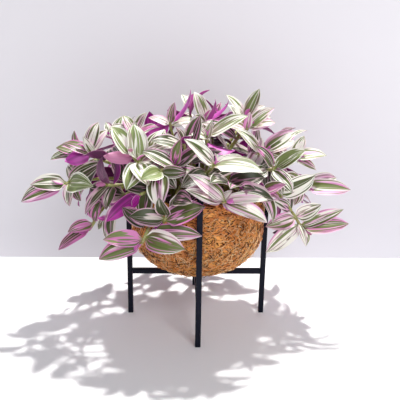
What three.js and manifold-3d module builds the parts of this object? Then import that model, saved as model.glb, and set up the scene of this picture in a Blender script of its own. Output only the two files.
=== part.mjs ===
// A tradescantia in a coir bowl on a black stand of square tube.
// Millimetres, Z up, the floor at zero. The stand's own axis is the centre of every shape below;
// STAND_SHIFT then moves all of them, so that the box round the plant is centred.
import * as THREE from "three";
import { mergeVertices } from "three/addons/utils/BufferGeometryUtils.js";
import Module from "manifold-3d";

const wasm = await Module();
wasm.setup();

// Stand
const TUBE = 9;
const LEG_REACH = 119.3;
const LEG_HEIGHT = 256;
const BAR_HEIGHT = 81;
const GAP = 0.3;
const STAND_SHIFT = [16.5, -47.7];

// Coir bowl and soil
const BOWL_RADIUS = 114.3;
const BOWL_BOTTOM = BAR_HEIGHT + TUBE / 2 + GAP;
const BOWL_SHOULDER = 174;
const BOWL_RIM = 236;
const BOWL_WALL = 9;
const BOWL_FLOOR = 12;
const BOWL_REST = 20;
const BOWL_FULL = 2.15;
const BOWL_SIDES = 32;
const SOIL_TOP = 224;

// Stems
const STEM_RADIUS = 2.8;
const STEM_SUNK = 28;
const STEM_UPRIGHT = 5;
const STEM_TURN = 30;
const ROOT_REACH = 88;
const ROOT_SHARE = 0.42;

// Leaves
const LEAF_LENGTH = 72;
const LEAF_WIDTH = 0.47;
const LEAF_ARCH = 0.15;
const LEAF_FOLD = 0.1;
const KEEL = 0.6;
const ROOT_DEPTH = 1.2;
const NECK_LENGTH = 4;
const NECK_WIDTH = 3.2;
const NECK_KEEL = 1.2;
const FULLNESS = 1.06;
const BASE_OFFSET = 0.06;
const BASE_POWER = 0.6;
const TIP_POWER = 0.72;
const BASE_PEAK = 0.4352;
const STATIONS = [0.2, 0.5, 0.8];
const HIGH = 255;

// Room between pieces, measured between the points that stand for them
const SAMPLE_STEP = 2.6;
const ROOM = 1.3;
const CELL = 7;
const JOINED = 12;

const DEG = Math.PI / 180;

// Shoots that show from the front. head: end of the stem. aim: the way the stem points there.
// A direction is [heading, lean]: heading as seen from the front, from the right and anticlockwise,
// lean towards the front. leaves: [heading, lean, length, width, turn about its length, step back].
const FRONT_SHOOTS = [
  {
    name: "shoot_left_far", head: [-223, -25, 246], aim: [185, 35], low: 1,
    leaves: [
      [200, 10, 78, 34], [178, 15, 58, 30], [37, 8, 68, 30], [0, 38, 68, 36],
      [262, 0, 42, 20], [285, 10, 36, 16], [115, -10, 30, 14],
    ],
  },
  {
    name: "shoot_left_low", head: [-177, -60, 179], aim: [200, 15], low: 1,
    leaves: [
      [213, 10, 64, 22], [205, -15, 54, 24], [186, 35, 44, 24], [70, 10, 40, 20], [100, -20, 38, 20],
    ],
  },
  {
    name: "shoot_left_mid", head: [-146, -70, 256], aim: [172, 10], low: 2,
    leaves: [
      [100, 20, 50, 22], [229, 5, 62, 22], [200, -28, 42, 18], [90, 8, 54, 20, 155], [250, 30, 42, 22],
    ],
  },
  {
    name: "shoot_pale_left", head: [-104, -72, 304], aim: [110, 20], low: 1,
    leaves: [[127, -15, 58, 30], [178, 5, 48, 20, 150], [85, -20, 40, 18]],
  },
  {
    name: "shoot_pale", head: [-96, -78, 297], aim: [75, 25], low: 1,
    leaves: [[100, -28, 60, 32], [301, 50, 54, 33], [243, 50, 54, 32], [72, -35, 60, 30], [350, 20, 40, 24]],
  },
  {
    name: "shoot_left_up", head: [-181, -21, 303], aim: [120, 10], low: 2,
    leaves: [
      [75, -20, 50, 26], [200, 25, 46, 26, 150], [60, -10, 46, 24], [172, -10, 52, 24], [110, 0, 34, 14],
    ],
  },
  {
    name: "shoot_left_back", head: [-208, 25, 290], aim: [160, -10], low: 2,
    leaves: [[192, 0, 52, 24], [104, 0, 40, 16], [150, 10, 46, 22], [240, 12, 46, 24], [60, -10, 40, 20]],
  },
  {
    name: "shoot_top_left", head: [-49, 30, 344], aim: [95, 10], low: 3,
    leaves: [
      [57, 10, 68, 18, 156], [78, 0, 38, 16], [160, 0, 40, 20], [12, 5, 50, 22], [189, 16, 54, 22, 150, 3],
    ],
  },
  {
    name: "shoot_top_left_back", head: [-112, 35, 322], aim: [100, -5], low: 2,
    leaves: [[62, 0, 44, 20], [112, -5, 44, 20], [150, 5, 50, 24], [30, 10, 46, 24], [90, 10, 36, 16]],
  },
  {
    name: "shoot_top_mid", head: [13, -20, 327], aim: [90, 15], low: 2,
    leaves: [[32, 8, 76, 26], [160, 40, 38, 24], [70, 0, 34, 14], [140, -5, 50, 24], [344, 12, 50, 28, 156]],
  },
  {
    name: "shoot_top_back_mid", head: [12, 42, 346], aim: [90, 0], low: 3,
    leaves: [
      [110, -5, 54, 26], [41, 16, 58, 15, 172, 1], [27, 24, 54, 14, 168, 4], [63, 8, 56, 13, 165, 7],
      [84, -10, 44, 20], [130, 12, 40, 22],
    ],
  },
  {
    name: "shoot_top_right", head: [80, 20, 353], aim: [80, 0], low: 3,
    leaves: [[67, 0, 56, 24], [131, -5, 54, 22], [50, 5, 44, 22], [27, 10, 48, 24], [160, 15, 42, 24]],
  },
  {
    name: "shoot_right_top", head: [84, -2, 341], aim: [50, 10], low: 3,
    leaves: [[40, 5, 54, 24], [22, 12, 48, 24], [165, 0, 42, 22], [75, 0, 32, 14]],
  },
  {
    name: "shoot_right_up", head: [110, -14, 304], aim: [35, 15], low: 1,
    leaves: [
      [33, 0, 63, 26], [17, -10, 60, 24], [3, 25, 48, 28], [136, 8, 60, 26], [250, 30, 46, 26],
      [95, 10, 30, 14],
    ],
  },
  {
    name: "shoot_right_dark", head: [124, -47, 280], aim: [20, 20], low: 2,
    leaves: [[35, 5, 58, 24], [128, 5, 50, 22], [317, 30, 52, 28], [300, 5, 48, 28], [200, 20, 44, 24]],
  },
  {
    name: "shoot_right_far_up", head: [168, 12, 287], aim: [20, 0], low: 2,
    leaves: [[6, 0, 57, 26], [336, 8, 46, 22], [60, -10, 46, 22], [150, 10, 46, 24]],
  },
  {
    name: "shoot_right", head: [185, -10, 240], aim: [0, 25], low: 3,
    leaves: [
      [0, 8, 78, 30], [18, -5, 68, 28], [150, 15, 46, 28], [252, 20, 36, 18], [285, 0, 34, 16],
      [340, 15, 26, 12],
    ],
  },
  {
    name: "shoot_right_low", head: [175, -45, 176], aim: [345, 20], low: 2,
    leaves: [
      [8, 5, 80, 28], [20, -5, 76, 22], [218, 15, 74, 30], [290, 25, 42, 22], [193, 15, 56, 28, 0, 16],
      [27, 0, 48, 26, 0, 17], [158, -5, 38, 22, 0, 26],
    ],
  },
  {
    name: "shoot_front_right", head: [38, -125, 245], aim: [20, 30], low: 2,
    leaves: [
      [141, 5, 70, 26], [153, 15, 62, 28], [4, 2, 68, 19], [339, 10, 76, 28], [45, 0, 24, 11],
      [352, 25, 58, 26], [165, -8, 46, 26, 40, 14],
    ],
  },
  {
    name: "shoot_front_mid_up", head: [21, -100, 296], aim: [60, 25], low: 2,
    leaves: [[136, 10, 62, 28], [358, 10, 76, 32], [135, 30, 28, 15], [20, -10, 56, 24]],
  },
  {
    name: "shoot_mid_left", head: [-38, -86, 292], aim: [90, 15], low: 2,
    leaves: [
      [80, 15, 46, 18], [36, 0, 54, 26], [148, 0, 58, 26], [182, 20, 42, 18], [345, 15, 44, 22],
      [326, 10, 54, 30, 0, 26],
    ],
  },
  {
    name: "shoot_mid_left_low", head: [-62, -98, 282], aim: [240, 35], low: 3,
    leaves: [[270, 35, 56, 34], [0, 5, 40, 20], [215, 15, 46, 26], [310, 20, 50, 28]],
  },
  {
    name: "shoot_front_low", head: [-87, -137, 183], aim: [200, 30], low: 0,
    leaves: [
      [200, 8, 70, 32], [181, 0, 60, 26], [353, 25, 66, 34], [7, 14, 84, 26, 0, 11], [150, -10, 50, 24, 0, 22],
    ],
  },
  {
    name: "shoot_front_mid", head: [-55, -128, 213], aim: [190, 25], low: 2,
    leaves: [[24, 5, 66, 34], [172, 10, 54, 28], [30, -4, 64, 26, 0, 14], [100, 10, 40, 22]],
  },
  {
    name: "shoot_front_left_mid", head: [-91, -112, 252], aim: [200, 20], low: 3,
    leaves: [
      [218, 8, 66, 24, 150], [268, 18, 42, 28, 0, 14], [310, 15, 44, 24, 120, 20], [175, 0, 44, 22, 0, 24],
    ],
  },
];

// Shoots that the front ones hide, and those behind: [compass angle from the right towards the back,
// reach, height, leaf size]. Their leaves follow the two-rank rule.
const HIDDEN_SHOOTS = [
  [14, 190, 216, 0.95], [32, 190, 292, 1.0], [38, 205, 190, 1.05], [52, 140, 340, 0.95],
  [60, 195, 245, 1.0], [76, 205, 182, 1.05], [80, 140, 322, 1.0], [95, 185, 268, 1.0],
  [100, 80, 360, 0.9], [112, 205, 196, 1.05], [124, 150, 292, 1.0], [132, 195, 252, 1.0],
  [148, 205, 188, 1.05], [152, 175, 305, 0.95], [170, 205, 226, 1.0], [300, 120, 262, 0.95],
  [328, 125, 246, 0.8], [245, 60, 322, 0.85], [205, 160, 205, 0.95], [68, 92, 346, 0.85],
];

// Seeded numbers between 0 and 1
function seeded(seed) {
  let state = seed >>> 0;
  return () => {
    state = (state + 0x6d2b79f5) >>> 0;
    let mixed = state;
    mixed = Math.imul(mixed ^ (mixed >>> 15), mixed | 1);
    mixed ^= mixed + Math.imul(mixed ^ (mixed >>> 7), mixed | 61);
    return ((mixed ^ (mixed >>> 14)) >>> 0) / 4294967296;
  };
}

const add = (a, b, k = 1) => [a[0] + b[0] * k, a[1] + b[1] * k, a[2] + b[2] * k];
const dot = (a, b) => a[0] * b[0] + a[1] * b[1] + a[2] * b[2];
const cross = (a, b) => [
  a[1] * b[2] - a[2] * b[1],
  a[2] * b[0] - a[0] * b[2],
  a[0] * b[1] - a[1] * b[0],
];
const scaled = (a, k) => [a[0] * k, a[1] * k, a[2] * k];
const unit = (a) => scaled(a, 1 / Math.sqrt(dot(a, a)));

// Unit vector of a heading seen from the front and a lean towards the front
function facing(heading, lean) {
  const flat = Math.cos(lean * DEG);
  return [
    flat * Math.cos(heading * DEG),
    -Math.sin(lean * DEG),
    flat * Math.sin(heading * DEG),
  ];
}

// Width of a leaf at t along it, as a share of its greatest width
const outline = (t) => ((t + BASE_OFFSET) ** BASE_POWER * (1 - t) ** TIP_POWER) / BASE_PEAK;

// Stem: straight lengths along a cubic curve from the soil to the head, more of them where it turns
// further, on an upright foot that is sunk in the soil
class Stem {
  constructor(root, head, aim, more) {
    const low = [root[0], root[1], SOIL_TOP + STEM_UPRIGHT];
    const span = Math.hypot(head[0] - low[0], head[1] - low[1], head[2] - low[2]);
    const hang = Math.max(0, BOWL_RIM + 12 - head[2]);
    const rise = 30 + 0.5 * hang + 0.3 * Math.max(0, head[2] - SOIL_TOP) + more;
    const before = add(add(head, aim, -0.34 * span), [0, 0, 1], 0.8 * hang + more);
    this.foot = [root[0], root[1], SOIL_TOP - STEM_SUNK];
    this.points = [low, add(low, [0, 0, 1], rise), before, head];
    this.pieces = 4 + Math.round(Math.acos(aim[2]) / DEG / STEM_TURN);
  }

  // Point on the straight lengths at u from 0 at the soil to 1 at the head
  at(u) {
    const i = Math.min(this.pieces - 1, Math.floor(u * this.pieces));
    const part = u * this.pieces - i;
    const [a, b] = [this.curve(i / this.pieces), this.curve((i + 1) / this.pieces)];
    return add(scaled(a, 1 - part), b, part);
  }

  // Point on the cubic curve at u
  curve(u) {
    const v = 1 - u;
    const weights = [v * v * v, 3 * v * v * u, 3 * v * u * u, u * u * u];
    return this.points.reduce((sum, point, i) => add(sum, point, weights[i]), [0, 0, 0]);
  }

  // Direction at u
  along(u) {
    const v = 1 - u;
    const weights = [v * v, 2 * v * u, u * u];
    const [a, b, c, d] = this.points;
    const steps = [add(b, a, -1), add(c, b, -1), add(d, c, -1)];
    return unit(steps.reduce((sum, step, i) => add(sum, step, weights[i]), [0, 0, 0]));
  }

  // Length of the curve above the soil
  length() {
    let total = 0;
    for (let i = 0; i < 32; i += 1) {
      const step = add(this.at((i + 1) / 32), this.at(i / 32), -1);
      total += Math.sqrt(dot(step, step));
    }
    return total;
  }

  // Points that stand for the stem, from the foot to the head
  samples() {
    const points = [];
    for (let z = this.foot[2]; z < SOIL_TOP + STEM_UPRIGHT; z += SAMPLE_STEP) {
      points.push({ sunk: true, point: [this.foot[0], this.foot[1], z] });
    }
    const count = Math.ceil(this.length() / SAMPLE_STEP);
    for (let i = 0; i <= count; i += 1) points.push({ sunk: false, point: this.at(i / count) });
    return points;
  }
}

// The stem's path for an extrusion: its first step is the sunk foot, the others follow the curve
class StemPath extends THREE.Curve {
  constructor(stem) {
    super();
    this.stem = stem;
  }

  getPointAt(share) {
    const step = share * (this.stem.pieces + 1);
    if (step < 1) {
      const foot = new THREE.Vector3(...this.stem.foot);
      return foot.lerp(new THREE.Vector3(...this.stem.at(0)), step);
    }
    return new THREE.Vector3(...this.stem.at(Math.min(1, (step - 1) / this.stem.pieces)));
  }

  getTangentAt(share) {
    const step = share * (this.stem.pieces + 1);
    if (step <= 1) return new THREE.Vector3(0, 0, 1);
    return new THREE.Vector3(...this.stem.along(Math.min(1, (step - 1) / this.stem.pieces)));
  }
}

// Blade of a leaf: a folded sheet on a centreline that arches from base to tip
class Leaf {
  constructor(base, chord, face, length, width) {
    this.base = base;
    this.chord = chord;
    this.face = face;
    this.side = cross(chord, face);
    this.length = length;
    this.width = width;
  }

  // The same leaf at a share of its size, lifted and swung by angles in degrees
  bent(lift, swing, share) {
    const [cl, sl] = [Math.cos(lift * DEG), Math.sin(lift * DEG)];
    const [cs, ss] = [Math.cos(swing * DEG), Math.sin(swing * DEG)];
    const raised = add(scaled(this.chord, cl), this.face, sl);
    const face = add(scaled(this.face, cl), this.chord, -sl);
    const chord = add(scaled(raised, cs), this.side, ss);
    return new Leaf(this.base, unit(chord), unit(face), this.length * share, this.width * share);
  }

  // Where the facets of the blade meet
  stops() {
    return [NECK_LENGTH / this.length, ...STATIONS];
  }

  // Width at t: a narrow neck where the blade leaves the stem, then its outline
  wide(t) {
    return t * this.length > NECK_LENGTH + 0.1 ? FULLNESS * this.width * outline(t) : NECK_WIDTH;
  }

  // Centre, direction across the face and half width at t from 0 at the base to 1 at the tip
  station(t) {
    const lift = 2 * t * (1 - t) * LEAF_ARCH * this.length;
    const slope = 2 * (1 - 2 * t) * LEAF_ARCH;
    const centre = add(add(this.base, this.chord, t * this.length), this.face, lift);
    const across = unit(add(this.face, this.chord, -slope));
    return { centre, across, half: this.wide(t) / 2 };
  }

  // Point on the sheet at t along it and v from -1 at its left edge to 1 at its right one
  point(t, v) {
    const { centre, across, half } = this.station(t);
    return add(add(centre, this.side, v * half), across, Math.abs(v) * half * LEAF_FOLD);
  }

  // Points that stand for the faceted blade, each with its distance out from the base
  samples() {
    const stops = [0, ...this.stops(), 1];
    const found = [];
    for (let i = 0; i + 1 < stops.length; i += 1) {
      const long = Math.ceil(((stops[i + 1] - stops[i]) * this.length) / SAMPLE_STEP);
      for (let j = i ? 1 : 0; j <= long; j += 1) {
        const part = j / long;
        const t = stops[i] + (stops[i + 1] - stops[i]) * part;
        const wide = this.wide(stops[i]) * (1 - part) + this.wide(stops[i + 1]) * part;
        const steps = Math.max(1, Math.ceil(wide / 2 / SAMPLE_STEP));
        for (let k = -steps; k <= steps; k += 1) {
          const a = this.point(stops[i], k / steps);
          const b = this.point(stops[i + 1], k / steps);
          found.push({ out: t * this.length, point: add(scaled(a, 1 - part), b, part) });
        }
      }
    }
    return found;
  }

  // Closed blade, flat above with a keel beneath and sharp edges
  solid() {
    const corners = [add(this.base, this.chord, -ROOT_DEPTH)];
    this.stops().forEach((t, i) => {
      const { centre, across } = this.station(t);
      const keel = i ? KEEL : NECK_KEEL;
      corners.push(this.point(t, -1), this.point(t, 1), add(centre, across, -keel));
    });
    corners.push(this.station(1).centre);
    const tip = corners.length - 1;
    const faces = [[0, 2, 1], [0, 1, 3], [0, 3, 2]];
    for (let left = 1; left + 3 < tip; left += 3) {
      const [right, keel, nextLeft, nextRight, nextKeel] = [1, 2, 3, 4, 5].map((i) => left + i);
      faces.push([left, right, nextRight], [left, nextRight, nextLeft]);
      faces.push([left, nextLeft, nextKeel], [left, nextKeel, keel]);
      faces.push([right, keel, nextKeel], [right, nextKeel, nextRight]);
    }
    faces.push([tip - 3, tip - 2, tip], [tip - 3, tip, tip - 1], [tip - 2, tip - 1, tip]);
    const shape = new THREE.BufferGeometry();
    shape.setAttribute("position", new THREE.Float32BufferAttribute(corners.flat(), 3));
    shape.setIndex(faces.flat());
    return manifoldOf(shape);
  }
}

// Closed solid of a geometry
function manifoldOf(geometry) {
  const bare = geometry.clone();
  bare.deleteAttribute("normal");
  bare.deleteAttribute("uv");
  const merged = mergeVertices(bare, 1e-4);
  return new wasm.Manifold(
    new wasm.Mesh({
      numProp: 3,
      vertProperties: new Float32Array(merged.attributes.position.array),
      triVerts: new Uint32Array(merged.index.array),
    }),
  );
}

// Geometry of a closed solid
function geometryOf(solid) {
  const mesh = solid.getMesh();
  const geometry = new THREE.BufferGeometry();
  const positions = new THREE.BufferAttribute(new Float32Array(mesh.vertProperties), 3);
  geometry.setAttribute("position", positions);
  geometry.setIndex(new THREE.BufferAttribute(new Uint32Array(mesh.triVerts), 1));
  return geometry;
}

// Four-sided rod along a path
function rod(radius, path, steps) {
  const section = new THREE.Shape();
  for (let i = 0; i < 4; i += 1) {
    const angle = (i * Math.PI) / 2;
    const [x, y] = [radius * Math.cos(angle), radius * Math.sin(angle)];
    if (i) section.lineTo(x, y);
    else section.moveTo(x, y);
  }
  return manifoldOf(new THREE.ExtrudeGeometry(section, { steps, extrudePath: path }));
}

// Outer radius of the bowl at a height: a full-bellied half ellipse, then an upright wall
function bowlRadius(height) {
  if (height >= BOWL_SHOULDER) return BOWL_RADIUS;
  const drop = (BOWL_SHOULDER - height) / (BOWL_SHOULDER - BOWL_BOTTOM);
  if (drop >= 1) return BOWL_REST;
  return Math.max(BOWL_REST, BOWL_RADIUS * (1 - drop ** BOWL_FULL) ** (1 / BOWL_FULL));
}

// True if a point keeps its room from the bowl, the soil and the legs
function clearOfHolder(point, radius) {
  const [x, y, z] = point;
  const room = radius + ROOM;
  const away = Math.hypot(x, y);
  if (z < BOWL_RIM + room && away < bowlRadius(z) + room) {
    const inside = away < BOWL_RADIUS - BOWL_WALL - room && z > SOIL_TOP + room;
    if (!inside) return false;
  }
  if (z < LEG_HEIGHT + room) {
    for (const [legX, legY] of [[0, -1], [-1, 0], [1, 0], [0, 1]]) {
      const apartX = Math.abs(x - legX * LEG_REACH);
      const apartY = Math.abs(y - legY * LEG_REACH);
      if (Math.max(apartX, apartY) < TUBE / 2 + room) return false;
    }
  }
  return z > BAR_HEIGHT + TUBE;
}

// The points of everything placed so far, in cubic cells
class Placed {
  constructor() {
    this.cells = new Map();
  }

  key(x, y, z) {
    return (x + 500) * 1000000 + (y + 500) * 1000 + z + 100;
  }

  add(point, radius, shoot, part, out) {
    const key = this.key(...point.map((value) => Math.floor(value / CELL)));
    if (!this.cells.has(key)) this.cells.set(key, []);
    this.cells.get(key).push({ point, radius, shoot, part, out });
  }

  // True if nothing placed is too near a point of this part of this shoot
  clear(point, radius, shoot, part, out) {
    const [cx, cy, cz] = point.map((value) => Math.floor(value / CELL));
    for (let x = cx - 1; x <= cx + 1; x += 1) {
      for (let y = cy - 1; y <= cy + 1; y += 1) {
        for (let z = cz - 1; z <= cz + 1; z += 1) {
          for (const other of this.cells.get(this.key(x, y, z)) ?? []) {
            const joined = out < JOINED || other.out < JOINED || other.part === part;
            if (other.shoot === shoot && joined) continue;
            const room = radius + other.radius + ROOM;
            const apart = add(point, other.point, -1);
            if (dot(apart, apart) < room * room) return false;
          }
        }
      }
    }
    return true;
  }
}

// Ways a leaf can be bent to keep clear, nearest first: [lift, swing, share of its size]
const LEAF_BENDS = [];
for (const share of [1, 0.86, 0.72]) {
  LEAF_BENDS.push([0, 0, share]);
  for (const angle of [7, 14, 22, 31, 42]) {
    for (const turn of [90, 270, 0, 180, 45, 135, 315, 225]) {
      LEAF_BENDS.push([angle * Math.sin(turn * DEG), angle * Math.cos(turn * DEG), share]);
    }
  }
}

// Ways a stem's root can be moved: [compass angle, reach, more rise], no two with the same foot
const ROOT_MOVES = [];
for (const rise of [0, 12, 24, 36, 48]) {
  for (const turn of [0, 9, -9, 18, -18, 28, -28, 40, -40]) {
    for (const reach of [0, -12, 10, -24]) ROOT_MOVES.push([turn + rise * 0.11, reach, rise]);
  }
}

// Leaves of a shoot before they are bent: those given, and the two-rank rule's further down
function leavesOf(shoot, stem, random) {
  const total = stem.length();
  const leaves = [];
  const set = (back, chord, face, length, width) => {
    const u = Math.max(0, 1 - back / total);
    const base = stem.at(u);
    if (Math.hypot(base[0], base[1]) < BOWL_RADIUS && base[2] < SOIL_TOP + 8) return;
    const across = unit(add(face, chord, -dot(face, chord)));
    leaves.push(new Leaf(base, chord, across, length, width));
  };
  (shoot.leaves ?? []).forEach(([heading, lean, length, width, turn = 0, back], i) => {
    const chord = facing(heading, lean);
    const hint = add([0, -0.6, 0.6], shoot.aim, 0.4);
    const level = unit(add(hint, chord, -dot(hint, chord)));
    const over = cross(chord, level);
    const face = add(scaled(level, Math.cos(turn * DEG)), over, Math.sin(turn * DEG));
    set(back ?? 2 + 2.5 * i, chord, face, length, width);
  });
  const given = leaves.length;
  const spin = shoot.spin + (random() - 0.5) * 40;
  const count = given ? shoot.low : shoot.count;
  for (let i = 0; i < count; i += 1) {
    const back = given ? 34 + 20 * i : [1, 5, 12, 22, 35, 50, 67, 85, 104][i];
    const young = given ? 1 : [0.5, 0.72, 0.9, 1, 1, 1, 0.95, 0.9, 0.85][i];
    const spread = given ? 72 + 8 * i : [16, 34, 48, 58, 66, 74, 80, 84, 88][i];
    const jitter = [random(), random(), random(), random()].map((value) => value - 0.5);
    const u = Math.max(0, 1 - back / total);
    const along = stem.along(u);
    const base = stem.at(u);
    const level = Math.abs(along[2]) > 0.9 ? [1, 0, 0] : [0, 0, 1];
    const flat = unit(cross(along, level));
    const upright = cross(flat, along);
    const turn = (spin + (i % 2) * 180 + jitter[0] * 50) * DEG;
    const rank = add(scaled(flat, Math.cos(turn)), upright, Math.sin(turn));
    const open = (spread + jitter[1] * 16) * DEG;
    const chord = unit(add(add(scaled(along, Math.cos(open)), rank, Math.sin(open)), [0, 0, -0.12]));
    const length = LEAF_LENGTH * shoot.size * young * (1 + jitter[2] * 0.2);
    const outward = unit([base[0], base[1], 40]);
    const hint = add(add([0, base[1] > 60 && base[0] < 110 ? 0 : -0.35, 0.45], along, 0.3), outward, base[2] > HIGH ? 0 : 0.5);
    set(back, chord, scaled(hint, jitter[3] > 0.46 ? -1 : 1), length, length * LEAF_WIDTH);
  }
  return leaves;
}

const placed = new Placed();

// Root that keeps the stem clear, or null
function plantStem(shoot, index) {
  const [x, y] = shoot.head;
  const compass = Math.atan2(y, x);
  const reach = Math.min(ROOT_REACH, ROOT_SHARE * Math.hypot(x, y));
  for (const [turn, more, rise] of ROOT_MOVES) {
    const radius = Math.min(ROOT_REACH + 4, Math.max(4, reach + more));
    const angle = compass + turn * DEG;
    const root = [radius * Math.cos(angle), radius * Math.sin(angle)];
    const stem = new Stem(root, shoot.head, shoot.aim, rise);
    const points = stem.samples();
    const free = points.every(({ point, sunk }) => {
      if (!sunk && !clearOfHolder(point, STEM_RADIUS + 0.3)) return false;
      return placed.clear(point, STEM_RADIUS + 0.3, index, -1, 0);
    });
    if (!free) continue;
    for (const { point } of points) placed.add(point, STEM_RADIUS, index, -1, 0);
    return stem;
  }
  return null;
}

// The first bend of a leaf that is clear, or null
function bendLeaf(leaf, shoot, part) {
  for (const [lift, swing, share] of LEAF_BENDS) {
    const bent = leaf.bent(lift, swing, share);
    const points = bent.samples();
    const free = points.every(({ point, out }) => {
      if (!clearOfHolder(point, KEEL)) return false;
      return placed.clear(point, KEEL, shoot, part, out);
    });
    if (!free) continue;
    for (const { point, out } of points) placed.add(point, KEEL, shoot, part, out);
    return bent;
  }
  return null;
}

const shoots = FRONT_SHOOTS.map((shoot, i) => ({
  ...shoot,
  aim: facing(...shoot.aim),
  size: 0.9,
  spin: 37 * i,
}));
HIDDEN_SHOOTS.forEach(([compass, reach, height, size], i) => {
  const out = [Math.cos(compass * DEG), Math.sin(compass * DEG)];
  const rise = (height - 235) / 90;
  shoots.push({
    name: "shoot_hidden_" + String(i + 1).padStart(2, "0"),
    head: [reach * out[0], reach * out[1], height],
    aim: unit([out[0], out[1], rise * (reach < 100 ? 3 : 1)]),
    size,
    count: height < 265 && reach < 165 ? 5 : reach < 165 ? 7 : 8,
    spin: 61 * i,
  });
});

const stems = shoots.map(plantStem);
const wanted = shoots.map((shoot, i) => (stems[i] ? leavesOf(shoot, stems[i], seeded(1000 + i)) : []));
const kept = shoots.map(() => []);
const most = Math.max(...wanted.map((leaves) => leaves.length));
for (const inFront of [true, false]) {
  for (let part = 0; part < most; part += 1) {
    shoots.forEach((shoot, i) => {
      const given = part < (shoot.leaves ?? []).length;
      if (part >= wanted[i].length || given !== inFront) return;
      const bent = bendLeaf(wanted[i][part], i, part);
      if (bent) kept[i].push(bent);
    });
  }
}

// Finishes
const black = { color: 0x1b1c22, roughness: 0.5, metalness: 0.4 };
const coir = { color: 0xa9713f, roughness: 0.95, metalness: 0 };
const earth = { color: 0x2a1c14, roughness: 0.95, metalness: 0 };
const foliage = { color: 0x8a9a6e, roughness: 0.5, metalness: 0 };

const part = new THREE.Group();

// Adds a named mesh, moved with the stand
function addMesh(name, geometry, finish) {
  geometry.translate(STAND_SHIFT[0], STAND_SHIFT[1], 0);
  const mesh = new THREE.Mesh(geometry, new THREE.MeshStandardMaterial(finish));
  mesh.name = name;
  part.add(mesh);
}

// Stand
const LEGS = { leg_front: [0, -1], leg_left: [-1, 0], leg_right: [1, 0], leg_back: [0, 1] };
for (const [name, [x, y]] of Object.entries(LEGS)) {
  const leg = new THREE.BoxGeometry(TUBE, TUBE, LEG_HEIGHT);
  leg.translate(x * LEG_REACH, y * LEG_REACH, LEG_HEIGHT / 2);
  addMesh(name, leg, black);
}
const barEnd = LEG_REACH - TUBE / 2 - GAP;
const wholeBar = new THREE.BoxGeometry(2 * barEnd, TUBE, TUBE);
wholeBar.translate(0, 0, BAR_HEIGHT);
addMesh("crossbar_left_right", wholeBar, black);
const halfLength = barEnd - TUBE / 2 - GAP;
for (const [name, way] of [["crossbar_front_half", -1], ["crossbar_back_half", 1]]) {
  const half = new THREE.BoxGeometry(TUBE, halfLength, TUBE);
  half.translate(0, way * (barEnd - halfLength / 2), BAR_HEIGHT);
  addMesh(name, half, black);
}

// Solid turned from a profile of [radius, height] points that starts and ends on the axis
function turned(profile) {
  const lathe = new THREE.LatheGeometry(profile.map(([r, z]) => new THREE.Vector2(r, z)), BOWL_SIDES);
  lathe.rotateX(Math.PI / 2);
  return manifoldOf(lathe);
}

// Radius and height on the ellipse of the bowl, drawn in by an inset
function bowlCurve(inset, floor, count) {
  const points = [];
  const radius = BOWL_RADIUS - inset;
  for (let i = 1; i <= count; i += 1) {
    const angle = (i / count) * (Math.PI / 2);
    const [out, down] = [Math.sin(angle), Math.cos(angle)].map((value) => value ** (2 / BOWL_FULL));
    points.push([radius * out, BOWL_SHOULDER - (BOWL_SHOULDER - floor) * down]);
  }
  return points;
}

const rimRound = 2.5;
const outerWall = [[0, BOWL_BOTTOM], [BOWL_REST, BOWL_BOTTOM], ...bowlCurve(0, BOWL_BOTTOM, 6)];
const innerRadius = BOWL_RADIUS - BOWL_WALL;
const innerFloor = BOWL_BOTTOM + BOWL_FLOOR;
const bowl = turned([
  ...outerWall,
  [BOWL_RADIUS, BOWL_RIM - rimRound],
  [BOWL_RADIUS - rimRound, BOWL_RIM],
  [innerRadius + rimRound, BOWL_RIM],
  [innerRadius, BOWL_RIM - rimRound],
  ...bowlCurve(BOWL_WALL, innerFloor, 4).reverse(),
  [0, innerFloor],
]);
addMesh("coir_bowl", geometryOf(bowl), coir);

let soil = turned([
  [0, innerFloor + GAP],
  ...bowlCurve(BOWL_WALL + 2 * GAP, innerFloor + 2 * GAP, 4),
  [innerRadius - 2 * GAP, SOIL_TOP - 3],
  [innerRadius - 6, SOIL_TOP],
  [0, SOIL_TOP],
]);
stems.forEach((stem) => {
  if (!stem) return;
  const bottom = new THREE.Vector3(stem.foot[0], stem.foot[1], stem.foot[2] - GAP);
  const top = new THREE.Vector3(stem.foot[0], stem.foot[1], SOIL_TOP + 2);
  soil = soil.subtract(rod(STEM_RADIUS + 0.4, new THREE.LineCurve3(bottom, top), 1));
});
addMesh("soil", geometryOf(soil), earth);

// Shoots: each is one solid
shoots.forEach((shoot, i) => {
  if (!stems[i]) return;
  let solid = rod(STEM_RADIUS, new StemPath(stems[i]), stems[i].pieces + 1);
  for (const leaf of kept[i]) solid = solid.add(leaf.solid());
  addMesh(shoot.name, geometryOf(solid), foliage);
});

export default part;
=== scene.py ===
"""Looks of a striped tradescantia in a coir bowl on a black stand of square tube.

Lengths are millimetres measured from the stand's own axis, with the floor at zero, unless a name ends
in _m. Meshes are moved to the row frame and to metres as each piece is finished.
"""

import logging
import math
from dataclasses import astuple, dataclass, field, replace
from enum import Enum

import bmesh
import bpy
import numpy as np
from mathutils import Matrix, Vector, noise


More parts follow.
